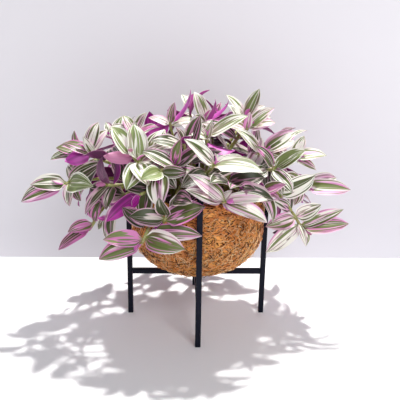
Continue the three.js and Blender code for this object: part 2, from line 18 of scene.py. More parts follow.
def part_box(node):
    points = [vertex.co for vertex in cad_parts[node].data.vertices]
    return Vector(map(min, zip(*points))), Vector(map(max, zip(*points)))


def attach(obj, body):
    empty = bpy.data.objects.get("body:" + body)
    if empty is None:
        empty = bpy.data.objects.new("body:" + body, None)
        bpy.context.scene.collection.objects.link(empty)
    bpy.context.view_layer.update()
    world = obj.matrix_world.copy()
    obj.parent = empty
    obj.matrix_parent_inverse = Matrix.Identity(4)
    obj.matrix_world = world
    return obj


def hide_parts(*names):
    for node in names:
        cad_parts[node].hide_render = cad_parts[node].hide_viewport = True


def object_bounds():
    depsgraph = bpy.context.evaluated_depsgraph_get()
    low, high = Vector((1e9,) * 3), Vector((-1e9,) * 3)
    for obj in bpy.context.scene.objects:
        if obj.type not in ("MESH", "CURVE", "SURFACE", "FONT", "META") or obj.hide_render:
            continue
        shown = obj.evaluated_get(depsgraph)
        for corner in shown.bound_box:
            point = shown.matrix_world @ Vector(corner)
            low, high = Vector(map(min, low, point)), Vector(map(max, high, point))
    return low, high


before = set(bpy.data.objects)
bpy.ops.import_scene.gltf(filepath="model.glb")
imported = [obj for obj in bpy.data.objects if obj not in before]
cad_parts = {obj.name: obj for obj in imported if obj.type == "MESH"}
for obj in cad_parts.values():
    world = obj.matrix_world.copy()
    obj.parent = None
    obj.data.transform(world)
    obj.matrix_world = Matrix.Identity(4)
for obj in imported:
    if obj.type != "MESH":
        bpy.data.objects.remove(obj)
CAD_BOX = [list(corner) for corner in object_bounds()]

log = logging.getLogger("tradescantia")

Point = np.ndarray
LeafRow = tuple[float, ...]
Socket = bpy.types.NodeSocket
Material = bpy.types.Material
Mesh = bpy.types.Mesh
BMesh = bmesh.types.BMesh

MM = 0.001
UP = np.array([0.0, 0.0, 1.0])
RIGHT = np.array([1.0, 0.0, 0.0])
WORD = 0xFFFFFFFF
RULE_SEED = 1000
LOOK_SEED = 5000
TONE_SEED = 9000


def stand_axis() -> Point:
    """Returns the stand's own axis in the row frame, on the floor, from the boxes of its legs."""
    corners = [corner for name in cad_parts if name.startswith("leg_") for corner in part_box(name)]
    middle = np.mean([list(corner) for corner in corners], axis=0) / MM
    return np.array([middle[0], middle[1], 0.0])


AXIS = stand_axis()


def unit(vector: Point) -> Point:
    """Returns the vector at length one."""
    return vector / np.linalg.norm(vector)


def squared(vector: Point, way: Point) -> Point:
    """Returns the part of a vector that is square to a way, at length one."""
    return unit(vector - way * float(vector @ way))


def smooth_step(value: Point, low: float, high: float) -> Point:
    """Returns 0 below low, 1 above high, and a smooth rise between them."""
    share = np.clip((value - low) / (high - low), 0.0, 1.0)
    return share * share * (3.0 - 2.0 * share)


class Draws:
    """Seeded numbers between 0 and 1, the same in every run.

    Args:
        seed: Whole number that starts the row of numbers.
    """

    def __init__(self, seed: int) -> None:
        """Starts the row of numbers."""
        self.state = seed & WORD

    def __call__(self) -> float:
        """Returns the next number."""
        self.state = (self.state + 0x6D2B79F5) & WORD
        mixed = self.state
        mixed = ((mixed ^ (mixed >> 15)) * (mixed | 1)) & WORD
        mixed ^= (mixed + (mixed ^ (mixed >> 7)) * (mixed | 61)) & WORD
        return ((mixed ^ (mixed >> 14)) & WORD) / (WORD + 1)

    def around(self, reach: float) -> float:
        """Returns a number between -reach and reach."""
        return (2.0 * self() - 1.0) * reach


# Finishes


@dataclass(frozen=True)
class Tint:
    """Colour of a surface, in linear light."""

    red: float
    green: float
    blue: float

    def rgba(self) -> tuple[float, float, float, float]:
        """Returns the colour as a shader socket holds it."""
        return (self.red, self.green, self.blue, 1.0)


class NodeBuilder:
    """Adds and links shader nodes in one tree.

    Args:
        tree: Node tree of a material or a group.
    """

    def __init__(self, tree: bpy.types.NodeTree) -> None:
        """Keeps the tree."""
        self.tree = tree

    def put(self, kind: str, **settings: object) -> bpy.types.Node:
        """Adds a node.

        Args:
            kind: Name of the node's type, without the ShaderNode in front.
            settings: Values of the node's own properties.

        Returns:
            The new node.
        """
        node = self.tree.nodes.new("ShaderNode" + kind)
        for name, value in settings.items():
            setattr(node, name, value)
        return node

    def feed(self, socket: Socket, source: object) -> None:
        """Links a socket, or sets its value.

        Args:
            socket: Input to fill.
            source: Another node's output, a Tint, or a plain value.
        """
        if isinstance(source, Socket):
            self.tree.links.new(source, socket)
        else:
            socket.default_value = source.rgba() if isinstance(source, Tint) else source

    def math(self, operation: str, *sources: object, clamp: bool = False) -> Socket:
        """Adds a Math node.

        Args:
            operation: Its operation.
            sources: Sources for its inputs, in order.
            clamp: Whether the result is kept between 0 and 1.

        Returns:
            Its output.
        """
        node = self.put("Math", operation=operation, use_clamp=clamp)
        for socket, source in zip(node.inputs, sources):
            self.feed(socket, source)
        return node.outputs[0]

    def times(self, first: object, second: object) -> Socket:
        """Returns the product of two sources."""
        return self.math("MULTIPLY", first, second)

    def line(self, value: object, slope: object, start: object, clamp: bool = False) -> Socket:
        """Returns a value times a slope, added to a start."""
        return self.math("MULTIPLY_ADD", value, slope, start, clamp=clamp)

    def most(self, *sources: object) -> Socket:
        """Compares sources.

        Args:
            sources: Two of them or more.

        Returns:
            The largest.
        """
        top, *others = sources
        for source in others:
            top = self.math("MAXIMUM", top, source)
        return top

    def mix(self, share: object, first: object, second: object, blend: str = "MIX") -> Socket:
        """Mixes two colours.

        Args:
            share: How much there is of the second, from 0 to 1.
            first: Colour where the share is 0.
            second: Colour where the share is 1.
            blend: How the second is laid on the first.

        Returns:
            The mixed colour.
        """
        node = self.put("Mix", data_type="RGBA", blend_type=blend)
        self.feed(node.inputs[0], share)
        self.feed(node.inputs[6], first)
        self.feed(node.inputs[7], second)
        return node.outputs[2]

    def step(self, value: object, low: object, high: object) -> Socket:
        """Steps smoothly from 0 to 1.

        Args:
            value: What is measured.
            low: Where the step is still 0.
            high: Where the step is 1.

        Returns:
            The step.
        """
        node = self.put("MapRange", interpolation_type="SMOOTHSTEP")
        for socket, source in zip(node.inputs, (value, low, high)):
            self.feed(socket, source)
        return node.outputs[0]

    def split(self, kind: str, source: object) -> tuple[Socket, ...]:
        """Splits a vector or a colour.

        Args:
            kind: XYZ for a vector, or Color.
            source: What is split.

        Returns:
            Its three parts.
        """
        node = self.put("Separate" + kind)
        self.feed(node.inputs[0], source)
        return tuple(node.outputs)

    def vector(self, *parts: object) -> Socket:
        """Joins numbers to a vector.

        Args:
            parts: Up to three of them.

        Returns:
            The vector.
        """
        node = self.put("CombineXYZ")
        for socket, source in zip(node.inputs, parts):
            self.feed(socket, source)
        return node.outputs[0]

    def grain(self, place: object, scale: object, detail: float = 2.0, rough: float = 0.5) -> Socket:
        """Adds a noise texture.

        Args:
            place: Where it is read.
            scale: How fine it is.
            detail: How many finer layers it has.
            rough: How strong those layers are.

        Returns:
            Its value.
        """
        node = self.put("TexNoise")
        self.feed(node.inputs["Vector"], place)
        self.feed(node.inputs["Scale"], scale)
        self.feed(node.inputs["Detail"], detail)
        self.feed(node.inputs["Roughness"], rough)
        return node.outputs["Fac"]

    def bump(self, height: object, distance: float, strength: float = 1.0) -> Socket:
        """Bends the surface by a height.

        Args:
            height: The height, mostly from 0 to 1.
            distance: Depth of a height of 1, in metres.
            strength: How much of the bend is used.

        Returns:
            The bent normal.
        """
        node = self.put("Bump")
        self.feed(node.inputs["Strength"], strength)
        self.feed(node.inputs["Distance"], distance)
        self.feed(node.inputs["Height"], height)
        return node.outputs["Normal"]


def new_group(
    name: str, inputs: tuple[str, ...], outputs: tuple[str, ...]
) -> tuple[NodeBuilder, list[Socket], bpy.types.Node]:
    """Makes a shader node group.

    Args:
        name: The group's name.
        inputs: Names of its inputs, all plain numbers but a Place, which is a vector.
        outputs: Names of its outputs, all plain numbers.

    Returns:
        A builder on the group's tree, the sockets that give its inputs, and its output node.
    """
    tree = bpy.data.node_groups.new(name, "ShaderNodeTree")
    for label in inputs:
        kind = "NodeSocketVector" if label == "Place" else "NodeSocketFloat"
        tree.interface.new_socket(name=label, in_out="INPUT", socket_type=kind)
    for label in outputs:
        tree.interface.new_socket(name=label, in_out="OUTPUT", socket_type="NodeSocketFloat")
    given = tree.nodes.new("NodeGroupInput")
    result = tree.nodes.new("NodeGroupOutput")
    return NodeBuilder(tree), [given.outputs[label] for label in inputs], result


def use_group(build: NodeBuilder, name: str, **values: object) -> bpy.types.Node:
    """Places a group in a tree.

    Args:
        build: Builder on the tree.
        name: The group's name.
        values: Sources for its inputs, by name.

    Returns:
        The group's node.
    """
    node = build.put("Group", node_tree=bpy.data.node_groups[name])
    for label, source in values.items():
        build.feed(node.inputs[label], source)
    return node


STREAKS = "lengthwise_streaks"
MOTTLE = "mottle"
TONE = "tone"


def make_streaks_group() -> None:
    """Makes the group that draws stripes along a leaf: a mask that changes across it and hardly along it."""
    labels = ("Across", "Along", "Seed", "Count", "Share", "Softness")
    build, given, result = new_group(STREAKS, labels, ("Mask", "Line"))
    across, along, seed, count, share, softness = given
    across = build.line(seed, 71.3, build.times(across, count))
    place = build.vector(across, build.line(along, 0.55, seed), build.times(seed, 37.9))
    value = build.grain(place, 1.0, detail=1.0)
    middle = build.line(share, -0.46, 0.73)
    low, high = build.math("SUBTRACT", middle, softness), build.math("ADD", middle, softness)
    build.feed(result.inputs["Mask"], build.step(value, low, high))
    ridge = build.math("ABSOLUTE", build.math("SUBTRACT", value, 0.5))
    thin = build.times(share, 0.1)
    wide = build.line(softness, 0.5, thin)
    build.feed(result.inputs["Line"], build.math("SUBTRACT", 1.0, build.step(ridge, thin, wide)))


def make_mottle_group() -> None:
    """Makes the group that gives soft patches of light and dark, with a finer grain in them."""
    build, (place, size, contrast), result = new_group(MOTTLE, ("Place", "Size", "Contrast"), ("Value",))
    centred = build.math("SUBTRACT", build.grain(place, size, detail=5.0, rough=0.6), 0.5)
    build.feed(result.inputs["Value"], build.line(centred, contrast, 0.5, clamp=True))


class Finish:
    """A material with a Principled surface.

    Args:
        name: The material's name.
        roughness: Roughness where nothing is linked.
    """

    def __init__(self, name: str, roughness: float) -> None:
        """Makes the material and keeps its surface node and a builder on its tree."""
        self.material = bpy.data.materials.new(name)
        self.material.use_nodes = True
        self.build = NodeBuilder(self.material.node_tree)
        self.surface = self.material.node_tree.nodes["Principled BSDF"]
        self.set("Roughness", roughness)

    def set(self, label: str, source: object) -> None:
        """Fills one input of the surface."""
        self.build.feed(self.surface.inputs[label], source)

    def place(self) -> Socket:
        """Returns the object coordinates."""
        return self.build.put("TexCoord").outputs["Object"]

    def mottle(self, size: float, contrast: float) -> Socket:
        """Returns soft patches of light and dark over the piece."""
        node = use_group(self.build, MOTTLE, Place=self.place(), Size=size, Contrast=contrast)
        return node.outputs["Value"]

    def tone(self) -> tuple[Socket, ...]:
        """Returns the three parts and the alpha of the piece's tone attribute."""
        source = self.build.put("Attribute", attribute_name=TONE)
        return (*self.build.split("Color", source.outputs["Color"]), source.outputs["Alpha"])


@dataclass(frozen=True)
class Stripes:
    """A set of stripes: how many lie across half a leaf, how soft they are, and where they start."""

    count: float
    softness: float
    start: float = 0.0


class LeafSkin(Finish):
    """A material that reads a leaf's own four numbers and the place on the leaf.

    Args:
        name: The material's name.
        roughness: Roughness where nothing is linked.
    """

    def __init__(self, name: str, roughness: float) -> None:
        """Makes the material and its inputs, with the place across the leaf from -1 to 1."""
        super().__init__(name, roughness)
        self.seed, self.white, self.pink, self.dark = self.tone()
        across, self.along, _ = self.build.split("XYZ", self.build.put("UVMap", uv_map="UVMap").outputs[0])
        self.across = self.build.line(across, 2.0, -1.0)
        self.from_middle = self.build.math("ABSOLUTE", self.across)

    def stripes(self, kind: Stripes, share: object, output: str = "Mask") -> Socket:
        """Adds a set of stripes.

        Args:
            kind: The set.
            share: About how much of the leaf it covers.
            output: Mask for whole stripes, or Line for thin ones.

        Returns:
            Where the stripes are.
        """
        own = self.build.math("ADD", self.seed, kind.start)
        values = {"Across": self.across, "Along": self.along, "Seed": own}
        values |= {"Count": kind.count, "Share": share, "Softness": kind.softness}
        return use_group(self.build, STREAKS, **values).outputs[output]


@dataclass(frozen=True)
class LeafFinish:
    """Upper and lower faces of the leaves and the skin of the stems."""

    deep: Tint = Tint(0.032, 0.043, 0.013)
    olive: Tint = Tint(0.135, 0.175, 0.042)
    moss: Tint = Tint(0.22, 0.26, 0.02)
    sage: Tint = Tint(0.30, 0.38, 0.13)
    cream: Tint = Tint(0.97, 0.95, 0.83)
    blush: Tint = Tint(0.90, 0.52, 0.76)
    rose: Tint = Tint(0.72, 0.24, 0.52)
    lime: Tint = Tint(0.33, 0.39, 0.07)
    magenta: Tint = Tint(0.60, 0.018, 0.44)
    plum_and_shade: Tint = Tint(0.13, 0.004, 0.10)
    dusk: Tint = Tint(0.60, 0.33, 0.36)
    wine: Tint = Tint(0.20, 0.045, 0.095)
    painted_shade_mauve: Tint = Tint(0.29, 0.155, 0.175)
    purple: Tint = Tint(0.12, 0.012, 0.085)
    orchid: Tint = Tint(0.80, 0.17, 0.68)
    stalk: Tint = Tint(0.20, 0.23, 0.035)
    husk: Tint = Tint(0.52, 0.50, 0.22)
    moss_bands: Stripes = Stripes(0.9, 0.2, 8.8)
    silver_bands: Stripes = Stripes(1.3, 0.1, 3.1)
    shade_lines: Stripes = Stripes(5.0, 0.1, 5.3)
    white_bands: Stripes = Stripes(1.5, 0.02, 9.2)
    band_borders: Stripes = Stripes(1.5, 0.07, 9.2)
    band_seams: Stripes = Stripes(2.3, 0.05, 6.1)
    white_lines: Stripes = Stripes(2.0, 0.05, 2.4)
    pink_bands: Stripes = Stripes(1.3, 0.1, 7.7)
    rose_bands: Stripes = Stripes(4.0, 0.12, 1.9)
    edge_waves: Stripes = Stripes(5.0, 0.3, 4.4)
    under_bands: Stripes = Stripes(3.0, 0.2)
    upper_veins: float = 62.0
    lower_veins: float = 40.0
    glow_depth_m: float = 0.0012
    glow: float = 0.3

    def upper(self) -> Material:
        """Returns the striped upper face: green bands, cream and pink stripes and a pale edge."""
        skin = LeafSkin("leaf_upper", 0.4)
        build = skin.build
        pale = build.math("SUBTRACT", 1.0, skin.dark)
        silver = build.times(skin.stripes(self.silver_bands, pale), build.line(pale, 0.78, 0.06))
        cover = build.line(skin.white, 1.35, -0.42)
        broad = skin.stripes(self.white_bands, cover)
        rib = build.step(skin.from_middle, 0.05, 0.02)
        green = self.green(skin, silver, cover)
        colour = build.mix(self.marks(skin, broad, rib), green, self.stripe(skin, green, broad))
        flush = build.step(build.times(skin.pink, skin.dark), 0.72, 0.92)
        colour = build.mix(build.times(flush, 0.8), colour, self.purple)
        throat = build.step(skin.along, 0.16, 0.02)
        skin.set("Base Color", build.mix(build.times(throat, 0.75), colour, self.lime))
        veins = build.math("SINE", build.times(skin.across, self.upper_veins))
        height = build.line(broad, 0.4, build.times(veins, 0.35))
        skin.set("Normal", build.bump(build.line(rib, -1.4, height), 0.00016, 0.8))
        skin.set("Roughness", build.line(silver, 0.12, 0.36))
        return self.lit_through(skin)

    def green(self, skin: LeafSkin, silver: Socket, cover: Socket) -> Socket:
        """Returns the green between the stripes.

        Args:
            skin: The upper face's material.
            silver: Mask of the silvery bands.
            cover: How much of the leaf is white.

        Returns:
            Its colour, with a wine-red border along the white bands.
        """
        build = skin.build
        green = build.mix(build.times(skin.stripes(self.moss_bands, skin.seed), 0.6), self.olive, self.moss)
        # Darker leaves go to deep green: partly their own colour, partly painted shade where the darkness
        # stands for shade.
        green = build.mix(build.line(skin.dark, 0.95, 0.05), green, self.deep)
        green = build.mix(silver, green, self.sage)
        green = build.mix(build.times(skin.stripes(self.shade_lines, 0.35), 0.35), green, self.deep)
        border = skin.stripes(self.band_borders, cover)
        border = build.times(border, build.math("SUBTRACT", 1.0, border))
        return build.mix(build.times(border, 2.25), green, self.wine)

    def stripe(self, skin: LeafSkin, green: Socket, broad: Socket) -> Socket:
        """Returns the colour of the stripes.

        Args:
            skin: The upper face's material.
            green: Colour between the stripes.
            broad: Mask of the white bands.

        Returns:
            Cream and pink, with seams in the bands, and dulled to mauve on dark leaves as painted shade.
        """
        build = skin.build
        pinkness = build.line(skin.pink, 0.9, -0.45)
        pinkness = build.math("ADD", skin.stripes(self.pink_bands, skin.pink), pinkness, clamp=True)
        pink = build.mix(skin.stripes(self.rose_bands, skin.pink), self.blush, self.rose)
        stripe = build.mix(pinkness, self.cream, pink)
        seams = build.times(skin.stripes(self.band_seams, 0.3, "Line"), broad)
        stripe = build.mix(build.times(seams, 0.8), stripe, build.mix(skin.pink, green, self.rose))
        # Painted shade: the stripes of dark leaves are dulled to mauve, as inner leaves look in shade.
        return build.mix(build.times(build.step(skin.dark, 0.6, 1.0), 0.6), stripe, self.painted_shade_mauve)

    def marks(self, skin: LeafSkin, broad: Socket, rib: Socket) -> Socket:
        """Returns where the leaf is striped.

        Args:
            skin: The upper face's material.
            broad: Mask of the white bands.
            rib: Mask of the middle rib.

        Returns:
            The mask of bands, fine lines, pale edge and rib.
        """
        build = skin.build
        fine = build.math("MINIMUM", 0.4, build.line(skin.white, 1.3, 0.03))
        lines = skin.stripes(self.white_lines, fine, "Line")
        edge = build.line(skin.stripes(self.edge_waves, 0.5), 0.05, skin.from_middle)
        return build.most(broad, lines, build.step(edge, 0.86, 0.92), build.times(rib, 0.4))

    def lower(self) -> Material:
        """Returns the magenta and purple lower face, with paler veins; its plum is partly painted shade."""
        skin = LeafSkin("leaf_lower", 0.42)
        build = skin.build
        bands = skin.stripes(self.under_bands, 0.5)
        # Plum on dark leaves: partly the underside's own deep purple, partly painted shade.
        bright = build.line(bands, 0.7, build.line(skin.dark, -0.8, 0.4), clamp=True)
        colour = build.mix(bright, self.plum_and_shade, self.magenta)
        rosy = build.step(build.math("SUBTRACT", skin.pink, skin.dark), 0.45, 0.85)
        fresh = build.math("ADD", build.step(skin.dark, 0.3, 0.05), rosy, clamp=True)
        colour = build.mix(build.times(fresh, 0.75), colour, self.dusk)
        colour = build.mix(build.times(build.step(skin.white, 0.3, 0.7), 0.75), colour, self.orchid)
        edge = build.step(skin.from_middle, 0.86, 1.0)
        skin.set("Base Color", build.mix(build.times(edge, 0.6), colour, self.rose))
        veins = build.math("SINE", build.times(skin.across, self.lower_veins))
        skin.set("Normal", build.bump(veins, 0.00008, 0.6))
        return self.lit_through(skin)

    def lit_through(self, skin: LeafSkin) -> Material:
        """Lets some light through a thin blade.

        Args:
            skin: Material of one of its faces.

        Returns:
            The material.
        """
        skin.set("Subsurface Weight", self.glow)
        skin.set("Subsurface Radius", (1.0, 0.6, 0.9))
        skin.set("Subsurface Scale", self.glow_depth_m)
        return skin.material

    def stem(self) -> Material:
        """Returns the yellow-green stem skin, with purple flecks and paler sheaths."""
        finish = Finish("stem_skin", 0.45)
        build = finish.build
        _, sheath, pink, _ = finish.tone()
        colour = build.mix(finish.mottle(90.0, 2.2), self.stalk, self.lime)
        flecks = build.step(build.grain(finish.place(), 420.0, detail=1.0), 0.56, 0.66)
        colour = build.mix(build.times(flecks, build.line(pink, 0.7, 0.1)), colour, self.rose)
        finish.set("Base Color", build.mix(build.times(sheath, 0.55), colour, self.husk))
        finish.set("Normal", build.bump(flecks, 0.0001, 0.5))
        return finish.material


@dataclass(frozen=True)
class CoirFinish:
    """Matted coconut fibre: the felt of the wall and the loose strands on it."""

    gap_shade_and_dark_strand: Tint = Tint(0.065, 0.014, 0.004)
    bark: Tint = Tint(0.66, 0.20, 0.048)
    amber: Tint = Tint(1.0, 0.52, 0.155)
    straw: Tint = Tint(1.0, 0.80, 0.46)
    lays: tuple[tuple[float, float, float], ...] = ((0.3, 0.2, 0.9), (1.2, 0.5, 2.3), (2.1, 1.4, 0.4))
    stretch: tuple[float, float, float] = (1.0, 3.0, 3.0)
    fibre_grain: float = 125.0

    def felt(self) -> Material:
        """Returns the wall's felt: brown patches under fine crossing fibres, painted shade in the gaps."""
        finish = Finish("coir_felt", 0.95)
        build = finish.build
        layers = []
        for turn in self.lays:
            lay = build.put("Mapping", vector_type="POINT")
            build.feed(lay.inputs["Vector"], finish.place())
            build.feed(lay.inputs["Rotation"], turn)
            build.feed(lay.inputs["Scale"], self.stretch)
            layers.append(build.step(build.grain(lay.outputs[0], self.fibre_grain), 0.46, 0.56))
        fibres = build.most(layers[0], *(build.times(layer, 0.85) for layer in layers[1:]))
        colour = build.mix(finish.mottle(38.0, 2.4), self.bark, self.amber)
        # Painted shade: the gaps between the fibres get the near-black pit colour, as holes in the matting
        # look in shade.
        finish.set("Base Color", build.mix(fibres, self.gap_shade_and_dark_strand, colour))
        finish.set("Normal", build.bump(fibres, 0.0012))
        finish.set("Specular IOR Level", 0.2)
        return finish.material

    def strand(self) -> Material:
        """Returns the loose strands, each of its own brown."""
        finish = Finish("coir_strand", 0.8)
        build = finish.build
        shade, gold, pale, _ = finish.tone()
        colour = build.mix(gold, build.mix(shade, self.bark, self.amber), self.straw)
        colour = build.mix(build.times(finish.mottle(60.0, 1.8), 0.3), colour, self.bark, "MULTIPLY")
        # The same dark colour makes some strands dark brown, their own colour.
        finish.set("Base Color", build.mix(build.step(pale, 0.74, 0.82), colour, self.gap_shade_and_dark_strand))
        finish.set("Roughness", build.line(shade, 0.2, 0.6))
        return finish.material


@dataclass(frozen=True)
class SoilFinish:
    """Dark crumbly potting soil."""

    damp: Tint = Tint(0.008, 0.005, 0.003)
    crumb: Tint = Tint(0.075, 0.042, 0.024)

    def earth(self) -> Material:
        """Returns the soil."""
        finish = Finish("potting_soil", 0.95)
        crumbs = finish.mottle(160.0, 2.6)
        finish.set("Base Color", finish.build.mix(crumbs, self.damp, self.crumb))
        finish.set("Normal", finish.build.bump(crumbs, 0.0015))
        return finish.material


@dataclass(frozen=True)
class CoatFinish:
    """The stand's satin black powder coat, with its fine orange peel and a little dust."""

    black: Tint = Tint(0.0034, 0.0046, 0.0140)
    dusty: Tint = Tint(0.010, 0.012, 0.026)

    def coat(self) -> Material:
        """Returns the powder coat."""
        finish = Finish("black_powder_coat", 0.42)
        build = finish.build
        dust = finish.mottle(26.0, 1.6)
        finish.set("Base Color", build.mix(build.times(dust, 0.3), self.black, self.dusty))
        finish.set("Roughness", build.line(dust, 0.18, 0.38))
        finish.set("Normal", build.bump(build.grain(finish.place(), 900.0, detail=1.0), 0.00008, 0.5))
        finish.set("Specular IOR Level", 0.16)
        return finish.material


# Meshes


def dress(name: str, mesh: Mesh, slot: str, nodes: tuple[str, ...], *finishes: Material) -> None:
    """Moves a mesh from the stand's axis in millimetres to the row frame and makes it a piece.

    Args:
        name: The piece's name.
        mesh: Its mesh.
        slot: Not used.
        nodes: CAD nodes that it stands for.
        finishes: Its materials, in the order of the faces' indices.
    """
    mesh.transform(Matrix.Scale(MM, 4) @ Matrix.Translation(Vector(AXIS)))
    for finish in finishes:
        mesh.materials.append(finish)
    piece = bpy.data.objects.new(name, mesh)
    bpy.context.scene.collection.objects.link(piece)
    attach(piece, "root")
    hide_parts(*nodes)
    mesh.calc_loop_triangles()
    log.info("%s: %d triangles", name, len(mesh.loop_triangles))


def mesh_of(shape: BMesh, name: str, smooth: bool = True) -> Mesh:
    """Turns a bmesh into a mesh and frees it.

    Args:
        shape: The bmesh.
        name: The mesh's name.
        smooth: Whether its faces are shaded smooth.

    Returns:
        The mesh.
    """
    for face in shape.faces:
        face.smooth = smooth
    mesh = bpy.data.meshes.new(name)
    shape.to_mesh(mesh)
    shape.free()
    return mesh


def copies_of(shape: BMesh, count: int) -> None:
    """Repeats all that a bmesh holds, in place, so that it holds it count times in a row.

    Args:
        shape: The bmesh.
        count: How many there are in the end.
    """
    size = [len(shape.verts), len(shape.edges), len(shape.faces)]
    have = 1
    while have < count:
        more = min(have, count - have)
        for group in (shape.verts, shape.edges, shape.faces):
            group.ensure_lookup_table()
        groups = (shape.verts, shape.edges, shape.faces)
        first = [item for group, each in zip(groups, size) for item in group[: more * each]]
        bmesh.ops.duplicate(shape, geom=first)
        have += more


def lathe(section: list[tuple[float, float]], steps: int) -> BMesh:
    """Spins a section about the upright axis.

    Args:
        section: Radius and height of its points, from the axis to the axis.
        steps: How many lengths make the full round.

    Returns:
        The closed shape, with its doubles merged.
    """
    shape = bmesh.new()
    verts = [shape.verts.new((radius, 0.0, height)) for radius, height in section]
    edges = [shape.edges.new(pair) for pair in zip(verts, verts[1:])]
    about = {"axis": (0.0, 0.0, 1.0), "cent": (0.0, 0.0, 0.0), "angle": 2 * math.pi}
    bmesh.ops.spin(shape, geom=verts + edges, steps=steps, use_merge=True, **about)
    bmesh.ops.remove_doubles(shape, verts=shape.verts, dist=0.01)
    bmesh.ops.recalc_face_normals(shape, faces=shape.faces)
    return shape


def points_of(mesh: Mesh, count: int = 1) -> Point:
    """Reads a mesh's vertices.

    Args:
        mesh: The mesh.
        count: How many like shapes it holds.

    Returns:
        An array with a row of points for each shape.
    """
    flat = np.empty(len(mesh.vertices) * 3)
    mesh.vertices.foreach_get("co", flat)
    return flat.reshape(count, -1, 3)


def place_points(mesh: Mesh, points: Point, tones: Point) -> None:
    """Moves a mesh's vertices and gives each its tone.

    Args:
        mesh: The mesh.
        points: New places, in the order of the vertices.
        tones: Four numbers for each vertex.
    """
    mesh.vertices.foreach_set("co", points.ravel())
    tone = mesh.attributes.new(TONE, "FLOAT_COLOR", "POINT")
    tone.data.foreach_set("color", tones.ravel())
    mesh.update()


# Shoots


class Side(Enum):
    """Material index of each kind of face on a shoot."""

    UPPER = 0
    LOWER = 1
    STEM = 2


@dataclass(frozen=True)
class Tone:
    """How striped, how pink and how dark a shoot's leaves are, from 0 to 1."""

    white: float = 0.5
    pink: float = 0.4
    dark: float = 0.4


@dataclass(frozen=True)
class ShootPlan:
    """A shoot that shows from the front.

    head is the end of its stem and aim the way the stem points there, as [heading, lean]: a heading as seen
    from the front, from the right and anticlockwise, and a lean towards the front. A leaf is heading, lean,
    length, width, turn about its length and step back from the head. low counts the leaves further down.
    """

    name: str
    head: tuple[float, float, float]
    aim: tuple[float, float]
    low: int
    leaves: tuple[LeafRow, ...]
    tone: Tone = Tone()


@dataclass(frozen=True)
class PlantSizes:
    """Sizes of the stems and leaves, and the soil's and the bowl's sizes that the plant depends on."""

    soil_top: float = 224.0
    bowl_rim: float = 236.0
    bowl_radius: float = 114.3
    stem_radius: float = 2.8
    stem_sunk: float = 28.0
    stem_upright: float = 5.0
    stem_turn: float = 30.0
    root_reach: float = 88.0
    root_share: float = 0.42
    leaf_length: float = 72.0
    leaf_width: float = 0.47
    leaf_arch: float = 0.15
    leaf_fold: float = 0.1
    fullness: float = 1.06
    base_offset: float = 0.06
    base_power: float = 0.6
    tip_power: float = 0.72
    peak: float = 0.4352
    over_rim: float = 12.0
    least_rise: float = 30.0
    rise_by_hang: float = 0.5
    rise_by_height: float = 0.3
    head_pull: float = 0.34
    head_by_hang: float = 0.8
    least_stops: int = 4
    steep: float = 0.9


SIZES = PlantSizes()

